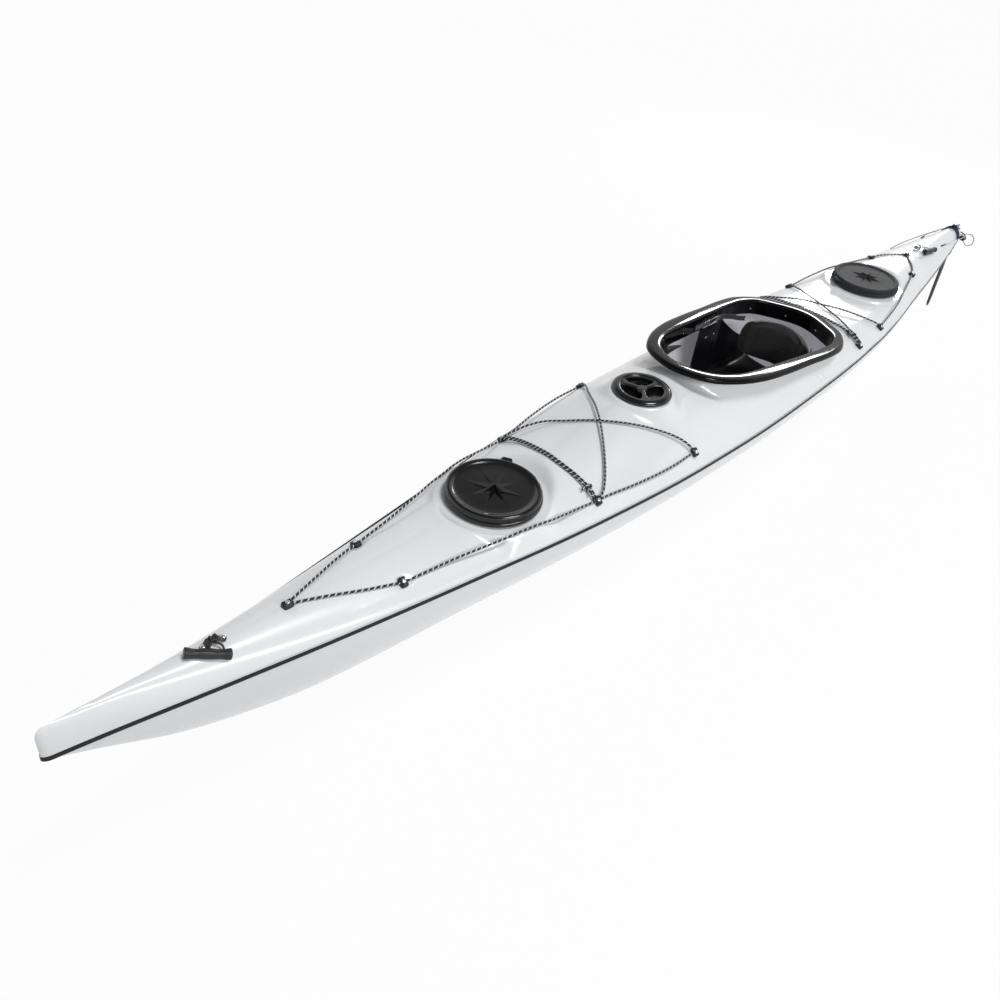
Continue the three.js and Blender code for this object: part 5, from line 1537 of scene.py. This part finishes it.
deckLine("forePerimeterLine", "fore_perimeter_line", forePerimeter)
deckLine("foreCrossUnder", "fore_cross_line_under", foreCross, finish="fineBraid")
deckLine("foreCrossOver", "fore_cross_line_over", mirrored(foreCrossOver), finish="fineBraid")
tiedLines("foreDoubleLine", "fore_double_line", foreDouble, (0.79, 0.154), 0.3)
deckLine("aftPerimeterLine", "aft_perimeter_line", aftPerimeter)
deckLine("aftCrossUnder", "aft_cross_line_under", aftCross, finish="fineBraid")
deckLine("aftCrossOver", "aft_cross_line_over", mirrored(aftCrossOver), finish="fineBraid")
tiedLines("aftDoubleLine", "aft_double_line", aftDouble, (-0.84, 0.175), 1.2)
print("deck lines done")

# Grab toggles: a saddle that arches over the deck, a cord round it and a handle on the cord

toggleForm = {"halfLength": 0.033, "foot": 0.0112, "height": 0.014, "lift": 0.001, "wrap": 0.0079,
              "cord": 0.005, "grip": 0.01, "rest": 0.0036}
togglePlaces = {
    "bow": {"x": 1.947, "wrapX": 1.951, "handle": ((2.019, -0.001), (1.931, 0.047)), "legs": (0.49, 0.86),
            "saddle": "plastic", "cord": "blackCord", "grip": "plastic"},
    "stern": {"x": -1.839, "wrapX": -1.848, "handle": ((-1.812, 0.047), (-1.904, 0.06)),
              "legs": (0.36, 0.62), "saddle": "steel", "cord": "paleCord", "grip": "plastic"},
}


def makeSaddle(label, spot):
    t = toggleForm
    rows = []
    for share in np.sin(np.linspace(-math.pi / 2, math.pi / 2, 57)):
        x = share * t["halfLength"]
        far = abs(x)
        end = max(far - (t["halfLength"] - t["foot"]), 0) / t["foot"]
        waist = math.exp(-(((x - (spot["wrapX"] - spot["x"])) / 0.0085) ** 4))
        half = t["foot"] * math.sqrt(max(1 - end * end, 0)) * (1 - 0.34 * waist)
        rise = np.clip((t["halfLength"] - 0.011 - far) / 0.012, 0, 1)
        rise = rise * rise * (3 - 2 * rise)
        middle = 0.0026 + (t["height"] - 0.0026) * rise
        thick = (0.0026 + 0.0009 * rise) * (0.6 + 0.4 * math.sqrt(max(1 - end**4, 0)))
        ring = []
        for turn in np.linspace(0, 2 * math.pi, 25):
            y = half * signedPower(math.cos(turn), 0.5)
            ring.append((x, y, middle + thick * signedPower(math.sin(turn), 0.62) - 16 * y * y * (1 - rise)))
        rows.append(ring)
    saddle = smooth(weld(gridSheet(f"{label}Saddle", rows), 2e-6), 50)
    heads = [domeHead("screw", (way * 0.0258, 0, 0.0049), (0, 0, 1), 0.0064, 0.003) for way in (1, -1)]
    screws = smooth(joined(f"{label}SaddleScrews", *heads))
    stand = standing(onDeck(spot["x"], 0, t["lift"]), deckNormal(spot["x"], 0, 0.03)[0], (1, 0))
    dress(moved(saddle, stand), "boat", "black_plastic", spot["saddle"], f"{label}_toggle_saddle")
    dress(moved(screws, stand), "boat", "steel", "steel")


def handleEnds(spot):
    t = toggleForm
    return [np.array(onDeck(x, y, t["grip"] + t["rest"])) for x, y in spot["handle"]]


def makeHandle(label, spot):
    # a moulded bar: waved on top, flared at its ends
    a, b = handleEnds(spot)
    half = np.linalg.norm(b - a) / 2
    rows = []
    for share in (-1, -1, -0.985, -0.955, *np.linspace(-0.92, 0.92, 33), 0.955, 0.985, 1, 1):
        far = abs(share)
        flare = 0.0016 * np.clip((far - 0.62) / 0.38, 0, 1) ** 1.5
        dip = 0.0024 * math.exp(-(((far - 0.52) / 0.24) ** 2))
        top, belly, wide = 0.0118 - dip + flare, 0.0112 - 0.001 * far, 0.0114 - 0.6 * dip + flare
        end = {1: 0.8, 0.985: 0.93, 0.955: 0.985}.get(far, 1.0)
        if len(rows) in (0, 40):
            end = 1e-4
        ring = []
        for turn in np.linspace(0, 2 * math.pi, 33):
            c, d = math.cos(turn), math.sin(turn)
            tall = top if d > 0 else belly
            ring.append((share * half, end * wide * signedPower(c, 0.72), end * tall * signedPower(d, 0.72)))
        rows.append(ring)
    handle = smooth(weld(gridSheet(f"{label}Handle", rows), 1e-5), 48)
    along = Vector(b - a).normalized()
    up = (Vector((0, 0, 1)) - along * along.z).normalized()
    moved(handle, placed((a + b) / 2, along, up))
    dress(handle, f"{label}_toggle", "black_plastic", spot["grip"], f"{label}_toggle_handle")


def makeToggleCord(label, spot):
    t = toggleForm
    a, b = handleEnds(spot)
    first, last = (a + (b - a) * share for share in spot["legs"])
    way = math.copysign(1, spot["handle"][1][0] - spot["handle"][0][0])
    x, _, z = onDeck(spot["wrapX"], 0, t["lift"] + t["height"])
    wrap = []
    for turn in np.linspace(0.1, 1.86, 13):
        wrap.append((x + way * (turn - 0.9) * 0.0035, t["wrap"] * math.cos(turn * math.pi),
                     z + t["wrap"] * math.sin(turn * math.pi)))
    leave = np.array(wrap[-1])
    bow = (leave + last) / 2 + (way * 0.0075, -0.001, 0.0035)
    path = [first + (0, 0, 0.001), (first + 2 * np.array(wrap[0])) / 3 + (0, 0, 0.001), *wrap, bow,
            last + (0, 0, 0.001)]
    cord = tube(f"{label}ToggleCord", eased(throughPoints(path, 110), 3), t["cord"], 12)
    dress(cord, f"{label}_toggle", "deck_line", spot["cord"], f"{label}_toggle_cord")


for label, spot in togglePlaces.items():
    makeSaddle(label, spot)
    makeHandle(label, spot)
    makeToggleCord(label, spot)
print("toggles done")

# A bolt on each side of the deck

sideBolt = {"x": -0.491, "y": 0.252, "radius": 0.005, "tall": 0.0022}


for side, label in bothSides:
    x, y = sideBolt["x"], side * sideBolt["y"]
    head = domeHead("bolt", onDeck(x, y), deckNormal(x, y)[0], sideBolt["radius"], sideBolt["tall"])
    dress(smooth(joined(f"sideBolt.{label}", head)), "boat", "steel", "steel")

# Rudder: the blade, the cord bound round the yoke with its small steel parts, and the lashing on the deck

bladeForm = {"hinge": (-2.36, 0.184), "length": 0.315, "width": 0.036, "thick": 0.012, "sweep": 0.038,
             "head": 0.0105}
# share of the way down from the hinge, then width and thickness there
bladeShares = (
    (0.0, 0.55, 0.9), (0.11, 0.55, 0.9), (0.19, 1.04, 0.95), (0.3, 1.0, 1.2), (0.75, 0.92, 1.15),
    (0.93, 0.84, 1.0), (0.98, 0.68, 0.8), (1.0, 0.42, 0.5))
# share of the way across the blade, then thickness there
foilShares = ((0, 0.0), (0.03, 0.5), (0.1, 0.8), (0.25, 0.98), (0.45, 1.0), (0.65, 0.94), (0.82, 0.66),
              (0.95, 0.32), (1, 0.14))


def makeBlade():
    b = bladeForm
    hingeX, hingeZ = b["hinge"]
    table = np.array(bladeShares)
    foil = np.array(foilShares)
    around = (1 - np.cos(np.linspace(0, math.pi, 19))) / 2
    downs = np.linspace(0, 1, 64)
    width, thick = (np.interp(downs, table[:, 0], table[:, k]) for k in (1, 2))
    width[1:-1], thick[1:-1] = eased(width, 3)[1:-1], eased(thick, 3)[1:-1]
    rows = []
    for down, w, deep in zip(downs, width, thick):
        middle = hingeX - b["sweep"] * down**1.3
        z = hingeZ - b["length"] * down
        side = [(middle + (0.5 - t) * b["width"] * w,
                 0.5 * b["thick"] * deep * float(np.interp(t, foil[:, 0], foil[:, 1])), z) for t in around]
        rows.append(side + [(x, -y, h) for x, y, h in side[-2::-1]])
    middle = np.mean(rows[-1], axis=0)
    rows.append([tuple(middle)] * len(rows[-1]))
    foilPiece = smooth(weld(gridSheet("foil", rows), 2e-5), 50)
    r, half = b["head"], b["thick"] / 2
    head = turned("head", ((0, -half), (r - 0.0012, -half), (r, -half + 0.0012), (r, half - 0.0012),
                           (r - 0.0012, half), (0, half)), 48)
    moved(head, Matrix.Translation((hingeX, 0, hingeZ)) @ Matrix.Rotation(math.pi / 2, 4, "X"))
    blade = joined("rudderBlade", foilPiece, smooth(head))
    dress(blade, bodyOf("rudder_blade"), "black_plastic", "blade", "rudder_blade")


def softened(node, finish, slot, width, angle=30):
    # the solid's own form, with its edges eased
    source = frame["nodes"][node]
    piece = bpy.data.objects.new(f"{node}.eased", source.data.copy())
    bpy.context.scene.collection.objects.link(piece)
    moved(piece, source.matrix_world)
    inEditMode(piece, lambda: bpy.ops.mesh.remove_doubles(threshold=1e-6),
               lambda: bpy.ops.mesh.dissolve_limited(angle_limit=math.radians(3)))
    applyModifier(piece, "BEVEL", width=width, segments=2, limit_method="ANGLE",
                  angle_limit=math.radians(angle))
    return dress(smooth(piece, 35), bodyOf(node), slot, finish, node)


def helix(start, end, radius, turns):
    start, end = np.array(start), np.array(end)
    along = (end - start) / np.linalg.norm(end - start)
    side = np.cross(along, (0, 0, 1))
    side /= np.linalg.norm(side)
    up = np.cross(side, along)
    points = []
    for t in np.linspace(0, 1, int(turns * 22)):
        turn = 2 * math.pi * turns * t
        points.append(start + (end - start) * t + radius * (math.cos(turn) * side + math.sin(turn) * up))
    return np.array(points)


bindingForm = {"armX": -2.376, "armZ": 0.2652, "reach": 0.046, "wrap": 0.0105, "cord": 0.0052, "sides": 10}


def makeRudderHead():
    f = bindingForm
    armX, armZ, reach, cord, sides = (f[part] for part in ("armX", "armZ", "reach", "cord", "sides"))
    parts = [
        tube("wrap", helix((armX, -reach, armZ), (armX, -0.016, armZ), f["wrap"], 5), cord, sides),
        tube("wrap", helix((armX, reach, armZ), (armX, 0.02, armZ), f["wrap"], 4), cord, sides),
        tube("wrap", helix((armX - 0.004, -0.014, armZ + 0.01), (armX - 0.004, 0.014, armZ + 0.01),
                           0.0065, 3), 0.005, sides),
    ]
    strand = throughPoints([
        (armX - 0.002, -reach, 0.276), (armX - 0.012, -0.02, 0.283), (armX - 0.01, 0.006, 0.288),
        (armX - 0.014, 0.03, 0.281), (armX - 0.004, reach, 0.274)], 60)
    parts.append(tube("strand", strand, cord, sides))
    dress(joined("yokeBinding", *parts), bodyOf("rudder_yoke"), "deck_line", "navyCord")
    pins = [domeHead("cap", (-2.366, 0, 0.276), (0, 0, 1), 0.0062, 0.004)]
    for y in (-0.043, 0.043):
        pins.append(domeHead("armBolt", (armX, y, 0.2685), (0, 0, 1), 0.0046, 0.0036))
    ringX, ringZ, ringRadius = -2.372, 0.293, 0.0085
    ring = [(ringX + ringRadius * math.cos(a), 0.004, ringZ + ringRadius * math.sin(a))
            for a in np.linspace(0, 2 * math.pi, 40)]
    pins.append(tube("ring", ring, 0.0026, 10))
    wire = throughPoints([
        (-2.38, 0.03, 0.279), (-2.398, 0.046, 0.286), (-2.42, 0.058, 0.284), (-2.436, 0.062, 0.277)], 24)
    pins.append(tube("wire", wire, 0.0018, 8))
    dress(joined("yokeHardware", *(smooth(pin) for pin in pins)), bodyOf("rudder_yoke"), "steel", "steel")


lashingForm = {
    "turns": (-2.248, -2.2545, -2.261, -2.268, -2.275), "knotX": -2.262, "cord": 0.0054, "sides": 10,
    "ends": ((-0.017, -2.318), (0.006, -2.33), (0.02, -2.306)),
    "clips": ((-2.3, -0.011), (-2.312, 0.01)),
}


def makeSternLashing():
    # turns of cord over the deck's end, drawn together by a knot on top
    f = lashingForm
    cord, sides, knotX = f["cord"], f["sides"], f["knotX"]
    parts = []
    for k, x in enumerate(f["turns"]):
        wide = 0.92 * float(beamAt(x))
        across = np.linspace(-wide, wide, 36)
        lift = 0.004 + (0.0016 if k % 2 else 0)
        lean = x + (0.004 if k % 2 else -0.003) * across / wide
        turn = np.column_stack([lean, across, deckHeight(lean, across)]) + deckNormal(lean, across) * lift
        parts.append(tube("turn", turn, cord, sides))
    knot = np.array([knotX, 0.004, onDeck(knotX, 0.0, 0.0125)[2]])
    parts.append(tube("knot", knotTurns(knot, 0.0095, 0.9, cord), cord, sides))
    for side, aft in f["ends"]:
        points = [onDeck(knotX, side * 0.3, 0.01), onDeck(-2.285, side * 0.7, 0.0055),
                  onDeck(aft, side, 0.0044)]
        parts.append(tube("strand", throughPoints(points, 30), cord, sides))
    dress(joined("sternLashing", *parts), "boat", "deck_line", "navyCord")
    clips = [domeHead("clip", onDeck(x, y), deckNormal(x, y)[0], 0.0052, 0.0042) for x, y in f["clips"]]
    dress(smooth(joined("sternClips", *clips)), "boat", "steel", "steel")


makeBlade()
makeRudderHead()
makeSternLashing()

# Each cable leaves the deck through a sleeve and ends on the crossarm

cableForm = {"exit": (-2.015, 0.052, 0.0024), "diameter": 0.003, "sleeve": 0.0062, "sleevePoints": 12}

for side, label in bothSides:
    exitX, exitY, exitLift = cableForm["exit"]
    cable = throughPoints([
        onDeck(exitX, side * exitY, exitLift), (-2.1, side * 0.057, 0.318), (-2.22, side * 0.058, 0.304),
        (-2.335, side * 0.057, 0.292), (-2.376, side * 0.045, 0.2716)], 90)
    steelCable = tube(f"rudderCable.{label}", cable, cableForm["diameter"], 10)
    dress(steelCable, "boat", "steel", "steel", f"rudder_cable_{label}")
    short = cableForm["sleevePoints"]
    swell = np.interp(np.arange(short), (0, 2, 9, 11), (1.3, 1.1, 1.0, 0.7))
    sleeve = tube(f"cableSleeve.{label}", cable[:short], cableForm["sleeve"], 14, swell)
    dress(sleeve, "boat", "black_plastic", "plastic")

# The blade's lifting line along the deck, and its free loop

uphaul = [(-1.771, -0.093, 0.0036), (-1.9, -0.084, 0.0036), (-2.05, -0.062, 0.0036),
          (-2.18, -0.038, 0.0036), (-2.27, -0.02, 0.0036)]
uphaulLine = tube("uphaulLine", eased(overDeck(uphaul), 10), 0.0046, 12)
dress(uphaulLine, "boat", "deck_line", "sheath", "uphaul_line")
loop = [
    (-2.3886, 0.005, 0.262), (-2.41, 0.016, 0.258), (-2.426, 0.03, 0.234), (-2.44, 0.05, 0.216),
    (-2.448, 0.068, 0.226), (-2.444, 0.072, 0.254), (-2.432, 0.054, 0.276), (-2.412, 0.028, 0.276),
    (-2.3886, 0.004, 0.2686)]
uphaulLoop = tube("uphaulLoop", throughPoints(loop, 120), 0.0042, 12)
dress(uphaulLoop, bodyOf("uphaul_loop"), "deck_line", "sheath", "uphaul_loop")

# Moulded fittings and the rudder head keep the solids' form, with eased edges

edgeEases = {"thigh_brace": 0.0035, "foot_rail": 0.0015, "foot_pedal": 0.002, "rudder_head": 0.0012,
             "bolt": 0.0008}
for node in ("thigh_brace", "foot_rail", "foot_pedal"):
    for label in ("port", "starboard"):
        softened(f"{node}_{label}", "plastic", "black_plastic", edgeEases[node])
for node in ("rudder_bracket", "rudder_yoke"):
    softened(node, "plastic", "black_plastic", edgeEases["rudder_head"])
softened("rudder_blade_bolt", "steel", "steel", edgeEases["bolt"])
# the bulkheads take the inner laminate, with its painted glow
for node in ("fore_bulkhead", "aft_bulkhead"):
    for slot in frame["nodes"][node].material_slots:
        slot.material = finishes["inner"]
print("rudder and inner fittings done")

# Floor, light and background

studio = {
    "floorZ": -0.16, "flat": 13.0, "wall": 17.0, "height": 13.0, "world": 0.2, "paper": 0.95,
    "paperTone": 0.74, "sun": {"aim": (0.3, -0.26, -1.0), "strength": 1.58, "width": 14},
    "softboxes": (("rearSoftbox", (-4.9, -1.5, 1.8), (0, 0, 0.3), (1.5, 0.26), 48.0),
                  ("sideSoftbox", (1.2, 4.2, 3.0), (0, 0, 0.2), (3.0, 0.6), 90.0)),
}


def makeStudio():
    # one sheet of white paper: a floor that sweeps up into a wall all round
    profile = [(0.0, 0.0), (4.0, 0.0), (9.0, 0.0), (studio["flat"], 0.0)]
    reach = studio["wall"] - studio["flat"]
    for angle in np.linspace(0, math.pi / 2, 13)[1:]:
        profile.append((studio["flat"] + reach * math.sin(angle), reach * (1 - math.cos(angle))))
    profile.append((studio["wall"], studio["height"]))
    sweep = smooth(turned("paperSweep", profile, 96, (0, 0, studio["floorZ"]), ring=True), 60)
    b = Board("whitePaper")
    b.finish(color=rgb(*[studio["paperTone"]] * 3), rough=0.9, specular=0.0)
    tree = b.tree
    path = tree.nodes.new("ShaderNodeLightPath")
    seen = Signal(b, path.outputs["Is Camera Ray"]).sum("MAXIMUM", Signal(b, path.outputs["Is Glossy Ray"]))
    seen = seen.sum("MAXIMUM", Signal(b, path.outputs["Is Transmission Ray"]))
    glow = tree.nodes.new("ShaderNodeEmission")
    glow.inputs["Strength"].default_value = 1.0
    blend = tree.nodes.new("ShaderNodeMixShader")
    out = next(node for node in tree.nodes if node.type == "OUTPUT_MATERIAL")
    b.give(blend.inputs[0], seen * studio["paper"])
    tree.links.new(b.surface.outputs[0], blend.inputs[1])
    tree.links.new(glow.outputs[0], blend.inputs[2])
    tree.links.new(blend.outputs[0], out.inputs["Surface"])
    sweep.data.materials.append(b.material)
    world = bpy.data.worlds.new("studioWorld")
    bpy.context.scene.world = world
    world.use_nodes = True
    sky = world.node_tree.nodes["Background"]
    sky.inputs["Color"].default_value = rgb(0.97, 0.985, 1.0)
    sky.inputs["Strength"].default_value = studio["world"]


def makeLamp(name, place, target, size, power):
    bpy.ops.object.select_all(action="DESELECT")
    bpy.ops.object.light_add(type="AREA", location=place)
    lamp = bpy.context.object
    lamp.name = name
    lamp.data.shape = "RECTANGLE"
    lamp.data.size, lamp.data.size_y = size
    lamp.data.energy = power
    aim = Vector(target) - Vector(place)
    lamp.rotation_euler = aim.to_track_quat("-Z", "Y").to_euler()


def makeSun(name, aim, strength, width):
    bpy.ops.object.light_add(type="SUN", location=(0, 0, 6))
    sun = bpy.context.object
    sun.name = name
    sun.data.energy, sun.data.angle = strength, math.radians(width)
    sun.rotation_euler = Vector(aim).to_track_quat("-Z", "Y").to_euler()


makeStudio()
makeSun("overheadLight", **studio["sun"])
for softbox in studio["softboxes"]:
    makeLamp(*softbox)
bpy.context.scene.view_settings.view_transform = "Standard"
print("studio done")
